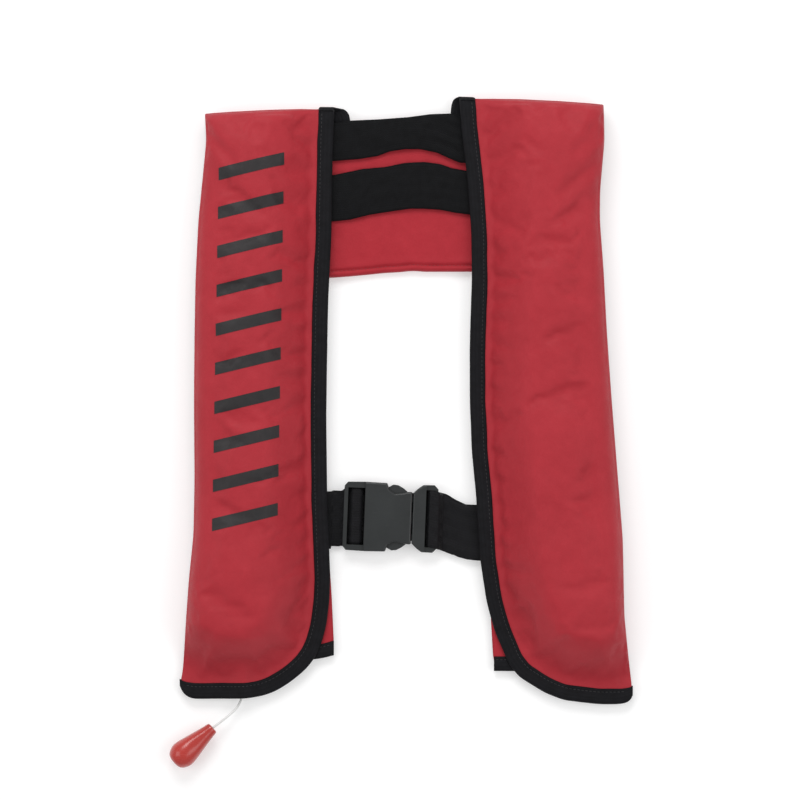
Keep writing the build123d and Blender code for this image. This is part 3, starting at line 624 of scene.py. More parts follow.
BLADDER = cloth("yellow_bladder", base=(0.80, 0.50, 0.02), dark=(0.72, 0.43, 0.015),
                light=(0.86, 0.56, 0.03), pitch=0.6, rough=(0.32, 0.48), spec=0.5, sheen=0.05)
REFLECTIVE = cloth("reflective_tape", base=(0.62, 0.64, 0.66), dark=(0.55, 0.57, 0.6),
                   light=(0.7, 0.72, 0.74), pitch=1.1, rough=(0.22, 0.35), spec=0.7, sheen=0.0)
HOOK_TAPE = cloth("hook_tape", base=(0.012, 0.012, 0.012), dark=(0.008, 0.008, 0.008),
                  light=(0.02, 0.02, 0.02), pitch=1.4, bump=1.0, rough=(0.8, 0.95), spec=0.15)
BUCKLE = hard("buckle_plastic", base=(0.0125, 0.0150, 0.0155), rough=0.36, grain=900,
              grain_height=0.00004, wear=(0.07, 0.07, 0.07))
HANDLE = hard("handle_plastic", base=(0.42, 0.026, 0.018), rough=0.24, grain=500,
              grain_height=0.00001, vary=0.08, coat=0.35, wear=(0.75, 0.12, 0.08))
CORD = cloth("white_cord", base=(0.80, 0.80, 0.78), dark=(0.70, 0.70, 0.68),
             light=(0.85, 0.85, 0.84), pitch=0.7, rough=(0.6, 0.75), spec=0.3)
INFLATOR = hard("inflator_nylon", base=(0.028, 0.028, 0.03), rough=0.48, grain=700,
                wear=(0.06, 0.06, 0.06))
ZINC = hard("cylinder_zinc", base=(0.56, 0.57, 0.58), rough=0.34, metal=1.0, grain=300,
            vary=0.08, streak=(1, 0.1, 1))
STAINLESS = hard("stainless", base=(0.6, 0.6, 0.6), rough=0.25, metal=1.0, grain=400)
BRASS = hard("brass", base=(0.68, 0.48, 0.2), rough=0.28, metal=1.0, grain=400)
RUBBER = hard("black_rubber", base=(0.02, 0.02, 0.021), rough=0.7, spec=0.3, grain=500,
              grain_height=0.00006)
TUBE = hard("yellow_tube", base=(0.72, 0.44, 0.02), rough=0.45, spec=0.4, grain=300)
VALVE = hard("valve_plastic", base=(0.022, 0.022, 0.024), rough=0.4, grain=600)
CAP = hard("cap_plastic", base=(0.03, 0.03, 0.032), rough=0.3, grain=500)
WHISTLE = hard("whistle_plastic", base=(0.75, 0.16, 0.01), rough=0.25, grain=500, coat=0.3,
               wear=(0.8, 0.3, 0.1))

# ---------------------------------------------------------------- the two front covers
# Outlines as X, Y: outer edge, shoulder line, then inner edge round the corner and the hem
LEFT_OUTER = [
    (-174.0, 72.8), (-172.7, 49.8), (-176.2, 14.2), (-179.8, -21.4), (-182.4, -74.8),
    (-183.3, -128.2), (-183.8, -181.6), (-183.3, -252.8), (-184.2, -300.8), (-188.4, -341.8),
    (-191.3, -382.7), (-194.6, -425.4), (-197.2, -437.0)]
LEFT_TOP = [(-174.0, 72.8), (-150.0, 74.4), (-125.0, 75.7), (-89.0, 77.2), (-59.6, 77.6)]
LEFT_INNER = [
    (-59.6, 77.6), (-60.9, 40.9), (-61.4, 14.2), (-62.3, -39.2), (-65.0, -92.6),
    (-65.9, -137.1), (-66.8, -199.4), (-65.9, -270.6), (-64.1, -316.8), (-63.2, -341.8),
    (-64.1, -361.3), (-66.8, -382.7), (-71.0, -398.8), (-76.0, -410.5), (-83.5, -420.4),
    (-90.9, -427.2), (-100.0, -434.2), (-111.6, -441.2), (-122.8, -445.4), (-137.9, -447.6),
    (-164.7, -448.0), (-185.5, -448.2), (-190.5, -446.6), (-195.2, -442.6), (-197.2, -437.0)]
RIGHT_OUTER = [
    (181.6, 81.0), (182.4, 49.8), (178.4, 5.3), (178.2, -21.4), (181.6, -65.9),
    (184.4, -119.3), (188.8, -181.6), (193.8, -243.9), (196.7, -279.5), (198.8, -306.2),
    (200.2, -375.6), (203.4, -404.1), (207.0, -432.5), (208.4, -445.5)]
RIGHT_TOP = [(181.6, 81.0), (163.0, 82.4), (142.0, 83.9), (107.0, 85.6), (53.8, 87.2)]
RIGHT_INNER = [
    (53.8, 87.2), (56.1, 57.9), (61.4, 12.5), (64.6, -32.9), (65.0, -74.8), (63.2, -128.2),
    (63.2, -181.6), (65.0, -226.1), (68.5, -263.4), (73.0, -327.5), (78.3, -361.3),
    (81.9, -375.6), (86.3, -389.8), (92.6, -404.1), (97.2, -415.9), (106.6, -428.2),
    (118.6, -435.8), (129.6, -442.6), (146.8, -449.4), (178.0, -453.0), (197.0, -452.8),
    (204.0, -451.8), (207.6, -449.6), (208.4, -445.5)]
# Soft creases: start, end, half width, depth
LEFT_CREASES = [
    ((-176, 62), (-150, 30), 5.0, 1.6), ((-172, 22), (-132, -12), 8.0, 0.9),
    ((-70, -300), (-120, -345), 12.0, 0.8), ((-186, -330), (-150, -372), 11.0, 1.2),
    ((-110, -400), (-150, -352), 14.0, 1.1), ((-80, -120), (-112, -160), 12.0, 0.6),
    ((-184, -180), (-160, -220), 10.0, 0.7)]
RIGHT_CREASES = [
    ((181, 34), (146, 2), 6.0, 1.5), ((180, 8), (150, -22), 7.0, 0.9),
    ((178, -370), (202, -410), 9.0, 1.3), ((150, -330), (190, -352), 12.0, 0.9),
    ((108, -330), (128, -390), 12.0, 1.0), ((70, -150), (104, -190), 12.0, 0.6),
    ((120, -420), (160, -392), 12.0, 1.0), ((186, -160), (160, -120), 11.0, 0.7)]
COVER_THICK = 1.1


def grid_fractions(first, step, total):
    """Grid lines close together at the edge, then step apart, as fractions of total."""
    lines = list(first)
    while lines[-1] < total - 6.2:
        lines.append(lines[-1] + step)
    return floats(lines + [total]) / total


def along(line, fractions):
    length = arc_length(line)
    return points_at(fractions * length[-1], length, line)


def round_off(z, base, distance, radius, share):
    """Rounds a surface off near an edge, where it keeps share of its height over base."""
    low = base + share * (z - base)
    return low + (z - low) * quarter_round(distance / radius)


class Cover:
    """One padded front cover; inward is the sign of X that leads in from its outer edge."""

    def __init__(self, side, outer, top, inner, corner, seed, creases):
        self.side = side
        self.left = side == "left"
        self.inward = 1.0 if self.left else -1.0
        self.outer = resample(outer, 260, 5.0)
        self.inner = resample(inner, 460, 4.0)
        self.corner = int(np.linalg.norm(self.inner - floats(corner), axis=1).argmin())
        self.top = floats(top)
        self.seed = seed
        self.creases = creases

    def base_z(self, y):
        return panel_z(y) - 0.3

    def edge_z(self, x, y):
        """Height along the inner edge and hem."""
        z = panel_z(y) + 4.6
        if self.left:                # the hem arches over the pull cord
            return z + 5.8 * bell((x + 141.5) / 12.0) * (1 - ease((y + 436.0) / 24.0))
        # the right cover lifts a little where the belt runs under it
        return z + 2.8 * bell((y + 282.0) / 27.0) * (1 - ease((x - 74.0) / 24.0))

    def height(self, x, y, detail=True):
        points = np.stack([x, y], 1)
        from_inner, s_inner = distance_to(self.inner, points)
        edge = self.edge_z(x, y)
        crest = np.minimum(38.6 + (75.0 - y) / 470.0 * 6.0, 44.6)
        reach = 44.0 + 7.0 * ease((-330.0 - y) / 90.0)
        full = ease((from_inner - 15.0) / reach) ** 0.9
        if detail:
            puff = uneven(x, y, 85.0, self.seed, 3)
            soft = uneven(x, y, 30.0, self.seed + 5, 3)
            crest = crest + 1.6 * np.clip(puff + 0.25, -0.3, 1.2) + 0.5 * soft
        z = edge + (crest - edge) * full
        if detail:
            for start, end, width, depth in self.creases:
                line = floats([start, end])
                away, s = distance_to(line, points)
                fade = 0.6 + 0.4 * np.sin(math.pi * s / arc_length(line)[-1])
                z = z - depth * bell(away / width) * full * fade
                z = z + 0.5 * depth * bell((away - 1.7 * width) / width) * full
            ripple = np.sin(s_inner * math.tau / 23.0 + 1.7 * np.sin(s_inner / 31.0))
            ripple = ripple * bell((from_inner - 22.0) / 9.0)
            z = z + 0.45 * ripple * ease((from_inner - 13) / 6)
        base = self.base_z(y)
        z = round_off(z, base, distance_to(self.outer, points)[0], radius=17.0, share=0.40)
        return round_off(z, base, y_at(self.top, x) - y, radius=14.0, share=0.52)

    def grid(self):
        """Rows run from the shoulder to the hem, columns from the outer to the inner edge."""
        u = grid_fractions([0, 0.7, 1.8, 3.4, 5.6, 8.4, 11.8, 15.6, 19.8], 4.25, 126.0)
        v = grid_fractions([0, 0.7, 1.8, 3.6, 6.2, 9.6, 13.6], 4.4, 527.0)
        outer, inner = along(self.outer, v), along(self.inner[:self.corner + 1], v)
        hem = along(self.inner[self.corner:][::-1], u)
        top = along(resample(self.top, 60, 4.0), u)
        u, v = u[None, :, None], v[:, None, None]
        corners = ((1 - u) * (1 - v) * self.outer[0] + u * (1 - v) * self.inner[0]
                   + (1 - u) * v * self.outer[-1] + u * v * self.inner[self.corner])
        xy = ((1 - u) * outer[:, None] + u * inner[:, None]
              + (1 - v) * top[None] + v * hem[None] - corners)
        flat = xy.reshape(-1, 2)
        face = np.dstack([xy, self.height(flat[:, 0], flat[:, 1]).reshape(xy.shape[:2])])
        walls = []
        # columns down the outer wall: offset inward, share of the height kept
        for offset, share in ((1.1, 0.0), (0.6, 0.28), (0.2, 0.6)):
            wall = face[:, 0].copy()
            base = self.base_z(wall[:, 1])
            wall[:, 2] = base + share * (wall[:, 2] - base)
            wall[:, 0] += self.inward * offset
            walls.append(wall)
        return np.concatenate([np.stack(walls, 1), face], 1)


SIM_FRAMES = 20
CLOTH_SETTINGS = {
    "quality": 6, "mass": 0.25,
    "tension_stiffness": 18, "compression_stiffness": 18, "shear_stiffness": 8,
    "bending_stiffness": 0.8,
    "tension_damping": 8, "compression_damping": 8, "shear_damping": 8, "bending_damping": 1.0,
    "use_pressure": True, "uniform_pressure_force": 2.6, "shrink_min": -0.022,
    "vertex_group_mass": "pin", "pin_stiffness": 1.0}


def simulate(grid, pinned, flip):
    """The grid after a cloth simulation with a little air behind it."""
    me = bpy.data.meshes.new("sim")
    me.from_pydata([tuple(map(float, q)) for q in grid.reshape(-1, 3) * MM], [],
                   [tuple(map(int, f)) for f in grid_faces(*grid.shape[:2], flip)])
    o = bpy.data.objects.new("sim", me)
    scene = bpy.context.scene
    scene.collection.objects.link(o)
    group = o.vertex_groups.new(name="pin")
    group.add(np.flatnonzero(pinned).tolist(), 1.0, "REPLACE")
    modifier = o.modifiers.new("cloth", "CLOTH")
    for key, value in CLOTH_SETTINGS.items():
        setattr(modifier.settings, key, value)
    modifier.settings.effector_weights.gravity = 0.0
    modifier.collision_settings.use_collision = False
    modifier.collision_settings.use_self_collision = False
    cache = modifier.point_cache
    cache.frame_start, cache.frame_end = 1, SIM_FRAMES
    scene.frame_start, scene.frame_end = 1, SIM_FRAMES
    for f in range(1, SIM_FRAMES + 1):
        scene.frame_set(f)
    result = o.evaluated_get(bpy.context.evaluated_depsgraph_get()).data.vertices
    co = np.empty(len(result) * 3, np.float32)
    result.foreach_get("co", co)
    bpy.data.objects.remove(o)
    bpy.data.meshes.remove(me)
    scene.frame_set(1)
    return co.reshape(grid.shape).astype(float) / MM


def settle(grid, pinned, flip, max_move=5.0, max_sink=0.9):
    """Simulated cloth, with its movement limited."""
    move = simulate(grid, pinned, flip) - grid
    size = np.linalg.norm(move, axis=2, keepdims=True)
    move = np.nan_to_num(move * np.minimum(1, max_move / np.maximum(size, 1e-6)))
    # what is folded up inside keeps the cloth from sinking
    normals = grid_normals(grid, flip)
    outward = (move * normals).sum(2, keepdims=True)
    return grid + move + normals * (np.maximum(outward, -max_sink) - outward)


def cover_cloth(cover):
    """Builds the cloth of a cover; returns the object and its row of points at the shoulder."""
    grid = cover.grid()
    from_inner = distance_to(cover.inner, grid[..., :2].reshape(-1, 2))[0]
    from_inner = from_inner.reshape(grid.shape[:2])
    pinned = from_inner < 15.5
    pinned[:, :5] = True
    pinned[:4, :] = True
    settled = settle(grid, pinned, cover.left)
    grid = grid + (settled - grid) * np.clip((from_inner - 14) / 10, 0, 1)[..., None]
    grid = refine(grid)
    uv = np.dstack([arc_length(grid), grid[..., 1]])
    o = shell(cover.side + "_front_cover_cloth", grid, COVER_THICK, [RED_NYLON, LINING], uv,
              flip=cover.left)
    ride_flap(o, cover.side, cover.side + "_front_cover")
    return o, grid[0]


def cover_binding(cover):
    """Binding and its stitches round the inner edge, the corner and the hem."""
    path = resample(cover.inner, int(arc_length(cover.inner)[-1] / 2.6))
    tangent = tangents(path)
    inward = cover.inward * np.column_stack([tangent[:, 1], -tangent[:, 0]])
    s = arc_length(path)
    left_over = s[-1] - s
    # where the hem turns up at its outer end the tape narrows and keeps facing +Y
    turn_start = path[int(np.abs(left_over - 24).argmin()), 1]
    rise = np.clip(path[:, 1] - turn_start, 0, None) * (left_over < 24)
    f = ease(rise / 2.5)[:, None]
    inward = unit(inward * (1 - f) + floats([0.0, 1.0]) * f)
    narrowing = 1 - 0.048 * rise

    def cloth_z(x, y):
        return cover.height(x, y, detail=False)

    tape = binding(cover.side + "_cover_binding_tape", path, inward, cloth_z, cover.seed,
                   1.08 * narrowing)
    ride_flap(tape, cover.side, cover.side + "_cover_binding")
    seam = (path + inward * (10.0 * narrowing)[:, None])[left_over > 7]
    seam = np.column_stack([seam, cloth_z(seam[:, 0], seam[:, 1]) + 0.85])
    ride_flap(stitches(cover.side + "_binding_stitches", seam, THREAD), cover.side)


COVERS = {
    "left": Cover("left", LEFT_OUTER, LEFT_TOP, LEFT_INNER, corner=(-85.5, -419.2), seed=3.1,
                  creases=LEFT_CREASES),
    "right": Cover("right", RIGHT_OUTER, RIGHT_TOP, RIGHT_INNER, corner=(98.9, -415.3),
                   seed=9.7, creases=RIGHT_CREASES)}
cover_objects, shoulder_rows = {}, {}
for side, cover in COVERS.items():
    cover_objects[side], shoulder_rows[side] = cover_cloth(cover)
    cover_binding(cover)


# ---------------------------------------------------------------- printed bars, left cover
def printed_bars(count=10, first_y=26.0, pitch=34.6, width=58.0, height=11.0, slope=14.0):
    """Slanting black bars that lie on the cloth; slope is the rise over the full width."""
    cols, rows = 45, 9
    tree = outer_tree(cover_objects["left"])
    verts, faces, uv = [], [], []
    for k in range(count):
        centre_y = first_y - k * pitch
        centre_x = -132.0 - 0.018 * (first_y - centre_y)
        faces += list(grid_faces(rows, cols, base=len(verts)))
        for j in range(rows):
            for i in range(cols):
                a, b = i / (cols - 1) - 0.5, j / (rows - 1) - 0.5
                x = centre_x + a * width
                y = centre_y + b * height + a * slope
                place, normal = drop_onto(tree, x, y)
                verts.append(tuple((place + normal * 0.00030) / MM))
                uv.append((x, y))
    ride_flap(mesh_object("left_printed_bars", verts, faces, [PRINT], uv), "left")


printed_bars()


# ---------------------------------------------------------------- shoulders
def shoulder_turn(cover, row):
    """The cover turns over at the shoulder and runs underneath, down to the back."""
    steps, first_part = 16, 0.62                 # the first part comes down, the rest turns under
    fold_z, end_y, end_z = 5.0, 68.0, 0.9
    x, y, z = row.T
    pull_in = 1 - np.clip((x - x[3]) * cover.inward / 20.0, 0, 1)
    rows = []
    for k in range(steps + 1):
        f = k / steps
        turned = row.copy()
        if f < first_part:
            g = f / first_part
            bulge = 1.6 * math.sin(g * math.pi) * np.clip((z - fold_z) / 15, 0, 1)
            turned[:, 2] = z + (fold_z - z) * (1 - math.cos(g * math.pi / 2))
            turned[:, 1] = y + bulge - 1.2 * g
        else:
            g = (f - first_part) / (1 - first_part)
            turned[:, 2] = fold_z - (fold_z - end_z) * math.sin(g * math.pi / 2)
            turned[:, 1] = y - 1.2 + (end_y - y + 1.2) * (1 - math.cos(g * math.pi / 2))
        turned[:, 0] = x + cover.inward * 6.0 * f * f * pull_in
        rows.append(turned)
    grid = np.stack(rows, 0)
    down = 79.0 + arc_length(grid.transpose(1, 0, 2)).mean(0)
    uv = ring_uv(arc_length(grid[0]), down)
    o = shell(cover.side + "_shoulder_turn", grid, COVER_THICK, [RED_NYLON, RED_PANEL], uv,
              flip=not cover.left)
    ride_shoulder(o, cover.side + "_shoulder_cap")


# The bound edge turns over the shoulder beside the neck strap; two edges as X, Y, Z
NECK_BINDINGS = {
    "left": (
        [(-59.6, 76.2, 19.7), (-59.0, 78.8, 17.0), (-56.0, 78.8, 12.0), (-50.0, 78.2, 9.6),
         (-45.8, 74.0, 8.8), (-44.2, 66.0, 8.4)],
        [(-72.6, 76.2, 19.9), (-72.4, 79.0, 17.0), (-71.0, 78.0, 10.5), (-68.0, 74.5, 8.0),
         (-66.0, 69.0, 7.6), (-65.0, 61.0, 7.4)]),
    "right": (
        [(66.8, 85.4, 20.0), (66.6, 87.8, 17.0), (66.0, 86.0, 10.5), (65.0, 80.0, 8.0),
         (64.0, 74.0, 7.6), (63.5, 64.0, 7.4)],
        [(54.0, 85.6, 19.8), (53.0, 88.2, 17.0), (49.5, 88.0, 12.6), (47.0, 85.2, 10.4),
         (45.6, 79.0, 9.2), (45.0, 66.0, 8.6)])}

for side, cover in COVERS.items():
    shoulder_turn(cover, shoulder_rows[side])
for side, edges in NECK_BINDINGS.items():
    edges = [smooth_line(edge, 40) for edge in edges]
    ride_shoulder(ribbon(side + "_neck_binding_turn", *edges, 2.2, BINDING),
                  side + "_neck_binding")

# ---------------------------------------------------------------- neck and back panel
BACK_LEFT, BACK_RIGHT = -168.0, 173.0
# Lower and upper edge as X, Y
BACK_LOW = [
    (-168, -62.0), (-160.0, -70.0), (-150.0, -73.0), (-61.4, -72.2), (-45.0, -71.0),
    (-28.0, -69.4), (-14.0, -67.9), (0.0, -67.2), (8.0, -66.2), (14.0, -66.1), (22.0, -66.8),
    (63.2, -66.8), (156.0, -66.0), (166.0, -60.0), (173.0, -50.0)]
BACK_HIGH = [
    (-168, 66.0), (-160.0, 72.0), (-62.0, 72.5), (-56.0, 64.0), (-40.0, 62.0), (0.0, 63.5),
    (40.0, 65.5), (56.0, 67.5), (62.0, 73.0), (160.0, 73.0), (173.0, 66.0)]
BACK_MID_Z = 4.0
BACK_SEAM = 5.6                     # distance of the stitched groove from the lower edge


def back_side_round(x):
    return quarter_round(np.minimum(x - BACK_LEFT, BACK_RIGHT - x) / 8.0)


def back_top_z(x, y, y_low, y_high):
    from_low, from_high = y - y_low, y_high - y
    side_round = back_side_round(x)
    z = 8.7 + 0.7 * uneven(x, y, 55.0, 21.0, 3) + 0.35 * uneven(x, y, 18.0, 27.0)
    z = z + 0.44 * bell((x - 8.0) / 70.0) * np.clip((y + 66) / 90.0, 0, 1)
    edge_round = quarter_round(np.minimum(from_low, from_high) / 5.0)
    z = BACK_MID_Z + (z - BACK_MID_Z) * edge_round * side_round
    z -= 1.9 * bell((from_low - BACK_SEAM) / 1.2) * side_round
    puckers = 1 + 0.6 * np.sin(x / 4.1 + 1.3 * np.sin(x / 17.0))
    z += 0.45 * bell((from_low - 9.5) / 2.2) * side_round * puckers
    return np.minimum(z, 10.2)


def back_panel():
    """One soft padded form with a rolled, stitched lower edge."""
    xs = np.unique(np.concatenate([np.linspace(-168, -160, 6), np.linspace(-160, 165, 148),
                                   np.linspace(165, 173, 6)]))
    lows, highs = y_at(BACK_LOW, xs), y_at(BACK_HIGH, xs)
    kernel = np.hanning(7)
    kernel /= kernel.sum()
    for edge in (lows, highs):
        edge[3:-3] = np.convolve(edge, kernel, "valid")
    # fractions from the lower to the upper edge, closest at the rolled lower one
    fractions = np.concatenate([
        [0, 0.003, 0.008, 0.016, 0.026, 0.034, 0.041, 0.048, 0.057, 0.068, 0.082],
        np.linspace(0.1, 0.96, 40), [0.972, 0.983, 0.992, 1.0]])
    rings, uv = [], []
    for x, low, high in zip(xs, lows, highs):
        y = low + (high - low) * fractions
        top = np.column_stack([np.full(len(y), x), y, back_top_z(x, y, low, high)])
        under = y[::-3][1:-1]
        edge_round = quarter_round(np.minimum(under - low, high - under) / 6.0)
        z = BACK_MID_Z - 3.55 * edge_round * back_side_round(x)
        rings.append(np.vstack([top, np.column_stack([np.full(len(under), x), under, z])]))
        uv += [(x, q) for q in y] + [(x + 400, q) for q in under]
    ride(loft("back_panel_padded", rings, RED_PANEL, uv), "back",
         "back_outer_cover", "back_inner_cover", "neck_bladder")
    x = np.linspace(-158, 164, 200)
    low = y_at(BACK_LOW, x)
    y = low + BACK_SEAM
    seam = np.column_stack([x, y, back_top_z(x, y, low, y_at(BACK_HIGH, x))])
    ride(stitches("back_panel_stitches", seam, RED_THREAD, lift=0.12), "back")


back_panel()

# Upper and lower edges of the two straps across the back, as X, Y
NECK_HIGH = [(-84, 66.0), (-60, 66.8), (-45, 68.2), (-18, 69.4), (7, 71.2), (27, 73.9),
             (46, 74.6), (60, 73.4), (84, 72.0)]
NECK_LOW = [(-84, 31.0), (-59, 32.0), (-36, 33.8), (-20, 36.5), (-9, 40.6), (4.5, 42.6),
            (18, 42.6), (33, 39.4), (43, 34.9), (53, 30.6), (84, 28.0)]
YOKE_HIGH = [(-138, 18.0), (-59, 19.6), (-34, 24.9), (-13, 26.7), (4, 30.3), (22, 31.2),
             (36, 29.4), (46, 25.8), (61, 23.1), (138, 20.0)]
YOKE_LOW = [(-138, -22.0), (-61, -22.0), (-45, -20.5), (-27, -16), (-4.5, -12.5), (9, -10.7),
            (22, -10.7), (36, -11.6), (49, -14.2), (63, -16), (138, -19.0)]


def back_strap(piece, reach, count, low, high, z, hump, hump_width, bulge, wave):
    """Webbing from -reach to reach in X, which humps up over X = 12."""
    x = np.linspace(-reach, reach, count)
    edges = edges_along_x(x, y_at(low, x), y_at(high, x), z + hump * bell((x - 12) / hump_width))
    ride(ribbon(piece + "_webbing", *edges, 1.7, NECK_WEBBING, wave=wave, bulge=bulge, count=25),
         "back", piece)


back_strap("neck_strap", reach=84, count=90, low=NECK_LOW, high=NECK_HIGH, z=11.9, hump=1.2,
           hump_width=34.0, bulge=0.9,
           wave=lambda s, u: (0.35 * np.sin(s / 13.0 + 3 * u) * np.sin(s / 29.0)
                              + 0.25 * np.sin(s / 6.1 + 7 * u)))
back_strap("yoke_strap", reach=138, count=130, low=YOKE_LOW, high=YOKE_HIGH, z=11.7, hump=0.8,
           hump_width=40.0, bulge=0.7,
           wave=lambda s, u: (0.3 * np.sin(s / 16.0 + 2 * u + 1) * np.sin(s / 37.0)
                              + 0.22 * np.sin(s / 7.3 + 5 * u)))

# ---------------------------------------------------------------- body-side panels
# Inner edge of each panel as X, Y
LEFT_PANEL_EDGE = [(-60.6, -412.0), (-59.3, -396.9), (-61.0, -359.6), (-63.2, -324.0),
                   (-67.6, -300.0), (-69.0, -200.0), (-67.0, -40.0), (-65.0, 72.0)]
RIGHT_PANEL_EDGE = [(85.6, -425.0), (83.2, -409.4), (81.2, -375.6), (76.5, -330.0),
                    (72.0, -262.0), (67.5, -180.0), (67.0, -60.0), (60.0, 72.0)]


def panel_cloth(cover, inner_edge, hem_y):
    y = np.linspace(74.0, hem_y, 130)[:, None]
    u = np.linspace(0, 1, 34)
    outer = x_at(cover.outer, y) + cover.inward * 1.6
    # towards the outer edge the hem runs a little lower
    if cover.left:
        drop = 5.2 * (1 - np.exp(-(1 - u) * 9.0))
    else:
        drop = 1.2 * (1 - u)
    x = outer + (x_at(inner_edge, y) - outer) * u
    y = y - ease((hem_y + 90 - y) / 90) * drop
    lumps = 0.35 * uneven(x.ravel(), y.ravel(), 40.0, cover.seed + 31).reshape(x.shape)
    grid = np.dstack([x, y, panel_z(y) + 1.45 + lumps])
    o = shell(cover.side + "_inner_panel_cloth", grid, 1.25, [RED_PANEL, LINING],
              grid[..., :2], flip=cover.left)
    ride(o, "front", cover.side + "_inner_panel")
    return grid


def panel_hem(cover, last_row):
    path = last_row[:, :2] + floats([0, -0.9])
    path = np.vstack([path, path[-1] + floats([cover.inward * 1.1, 0.05])])
    path = resample(path, 60)
    inward = np.tile([0.0, 1.0], (len(path), 1))
    tape = binding(cover.side + "_panel_hem_tape", path, inward,
                   lambda x, y: panel_z(y) + 1.5, cover.seed + 40)
    ride(tape, "front", cover.side + "_panel_binding")
    seam = path + inward * 9.4
    seam = np.column_stack([seam, panel_z(seam[:, 1]) + 2.35])
    ride(stitches(cover.side + "_panel_hem_stitches", seam, THREAD), "front")


def closure_strip(cover, piece, lift):
    y = np.linspace(-372, 60, 110)
    x = np.full(len(y), -86.0) if cover.left else 82.5 + (60 - y) / 432.0 * 21.5
    centre = np.column_stack([x, y, panel_z(y) + lift])
    half_width = floats([6.0, 0, 0])
    return ribbon(piece + "_tape", centre - half_width, centre + half_width, 1.0, HOOK_TAPE,
                  count=9)


for side, inner_edge, hem_y in (("left", LEFT_PANEL_EDGE, -408.5),
                                ("right", RIGHT_PANEL_EDGE, -422.5)):
    cover = COVERS[side]
    panel_hem(cover, panel_cloth(cover, inner_edge, hem_y)[-1])
    loop, hook = side + "_loop_strip", side + "_hook_strip"
    ride(closure_strip(cover, loop, lift=2.1), "front", loop)
    ride_flap(closure_strip(cover, hook, lift=3.2), side, hook)


# ---------------------------------------------------------------- folded bladders
def bladder_left(y):
    return -174.5 - (79.0 - y) / 528.0 * 20.4 + 13.4


def bladder_right(y):
    return 181.6 + (79.0 - y) / 528.0 * 25.8 - 13.4


def stack_top(y):
    return 38.0 + (75 - y) / 470 * 6 - 3.6 - np.clip(-395.0 - y, 0, None) * 0.62


def stack_bottom(y):
    return panel_z(y) + 2.9


def tab_top(y):
    return panel_z(y) + 4.4


# Stacks: low X, high X (a number or a function of Y), low Y, high Y, top height, layers, seed
STACKS = {
    "left": [(bladder_left, -110.7, -195.0, 72.0, stack_top, 4, 1.0),
             (-149.0, -111.7, -336.0, -190.0, stack_top, 4, 2.0),
             (-125.0, -111.7, -397.0, -330.0, stack_top, 3, 3.0),
             (-184.0, -123.0, -399.0, -330.0, tab_top, 1, 4.0)],
    "right": [(121.7, bladder_right, -150.0, 72.0, stack_top, 4, 5.0),
              (132.7, 150.0, -336.0, -145.0, stack_top, 4, 6.0),
              (133.2, 143.0, -393.0, -330.0, stack_top, 3, 7.0),
              (139.2, 186.0, -401.0, -145.0, tab_top, 1, 8.0)]}


def fold_layer(cover, x_low, x_high, y_low, y_high, top, layers, seed, k):
    """Layer k of a stack: doubled cloth with rounded folds at both sides."""
    sides = 40
    rings, uv = [], []
    for y in np.linspace(y_low, y_high, int((y_high - y_low) / 7)):
        end_round = max(math.sqrt(0.02), quarter_round(min(y - y_low, y_high - y) / 6.0))
        height = (top(y) - stack_bottom(y)) / layers
        centre_z = stack_bottom(y) + height * (k + 0.5)
        wobble = 1.8 * noise.noise(Vector((y / 31.0, k * 2.3 + seed, 0.4)))
        low = x_low(y) if callable(x_low) else x_low
        high = x_high(y) if callable(x_high) else x_high
        low += 1.5 + abs(wobble)
        high += -1.5 + 0.6 * wobble - (2.0 if k % 2 else 0.0)
        ring = []
        for q in range(sides):
            cosine, sine = math.cos(math.tau * q / sides), math.sin(math.tau * q / sides)
            x = (low + high) / 2 + (high - low) / 2 * math.copysign(abs(cosine) ** 0.32, cosine)
            z = centre_z + height * 0.49 * end_round * math.copysign(abs(sine) ** 0.55, sine)
            z += 0.35 * noise.noise(Vector((x / 12.0, y / 14.0, k + seed)))
            ring.append((x, y, z))
            uv.append((x + z, y + 60 * k))
        rings.append(ring)
    rings = floats(rings)
    # squash the layer where the cover over it is low
    x, y, z = rings.reshape(-1, 3).T
    roof = cover.height(x, y, detail=False) - 4.2
    base = panel_z(y) + 2.6
    squash = np.clip((roof - base) / np.maximum(stack_top(y) - base, 1.0), 0.12, 1.0)
    rings[..., 2] = (base + (z - base) * squash).reshape(rings.shape[:2])
    return loft("bladder_layer", rings, BLADDER, uv)


def bladder(side):
    layers = [fold_layer(COVERS[side], *stack, k) for stack in STACKS[side]
              for k in range(stack[5])]
    o = join(layers, side + "_bladder_folded")
    ride(o, "front", side + "_bladder")
    return o


def reflective_patch(side, folded, x_low, x_high):
    """Tape that lies on the folded bladder."""
    tree = outer_tree(folded)
    x, y = np.meshgrid(np.linspace(x_low, x_high, 39), np.linspace(-20.0, 55.0, 76))
    z = np.zeros_like(x)
    for k in np.ndindex(x.shape):
        place = drop_onto(tree, x[k], y[k])[0]
        z[k] = place.z / MM if place is not None else 20.0      # 20 beyond the folds' edge
    rows, cols = x.shape
    for pick in (np.max, np.mean):          # the tape bridges small hollows in the cloth below it
        padded = np.pad(z, 2, mode="edge")
        z = pick(np.stack([padded[a:a + rows, b:b + cols] for a in range(5) for b in range(5)]),
                 axis=0)
    grid = np.dstack([x, y, z + 0.5])
    o = shell(side + "_reflective_patch_tape", grid, 0.4, [REFLECTIVE], grid[..., :2])
    ride(o, "front", side + "_reflective_patch")


folded = {side: bladder(side) for side in COVERS}
reflective_patch("left", folded["left"], -158.0, -120.0)
reflective_patch("right", folded["right"], 130.0, 168.0)

# ---------------------------------------------------------------- belt
BUCKLE_X, BUCKLE_Y, BUCKLE_Z = -8.5, -286.6, 3.3
BUCKLE_ANGLE = math.radians(-2.2)
BELT_LEFT_X, BELT_Z = -159.0, 4.2


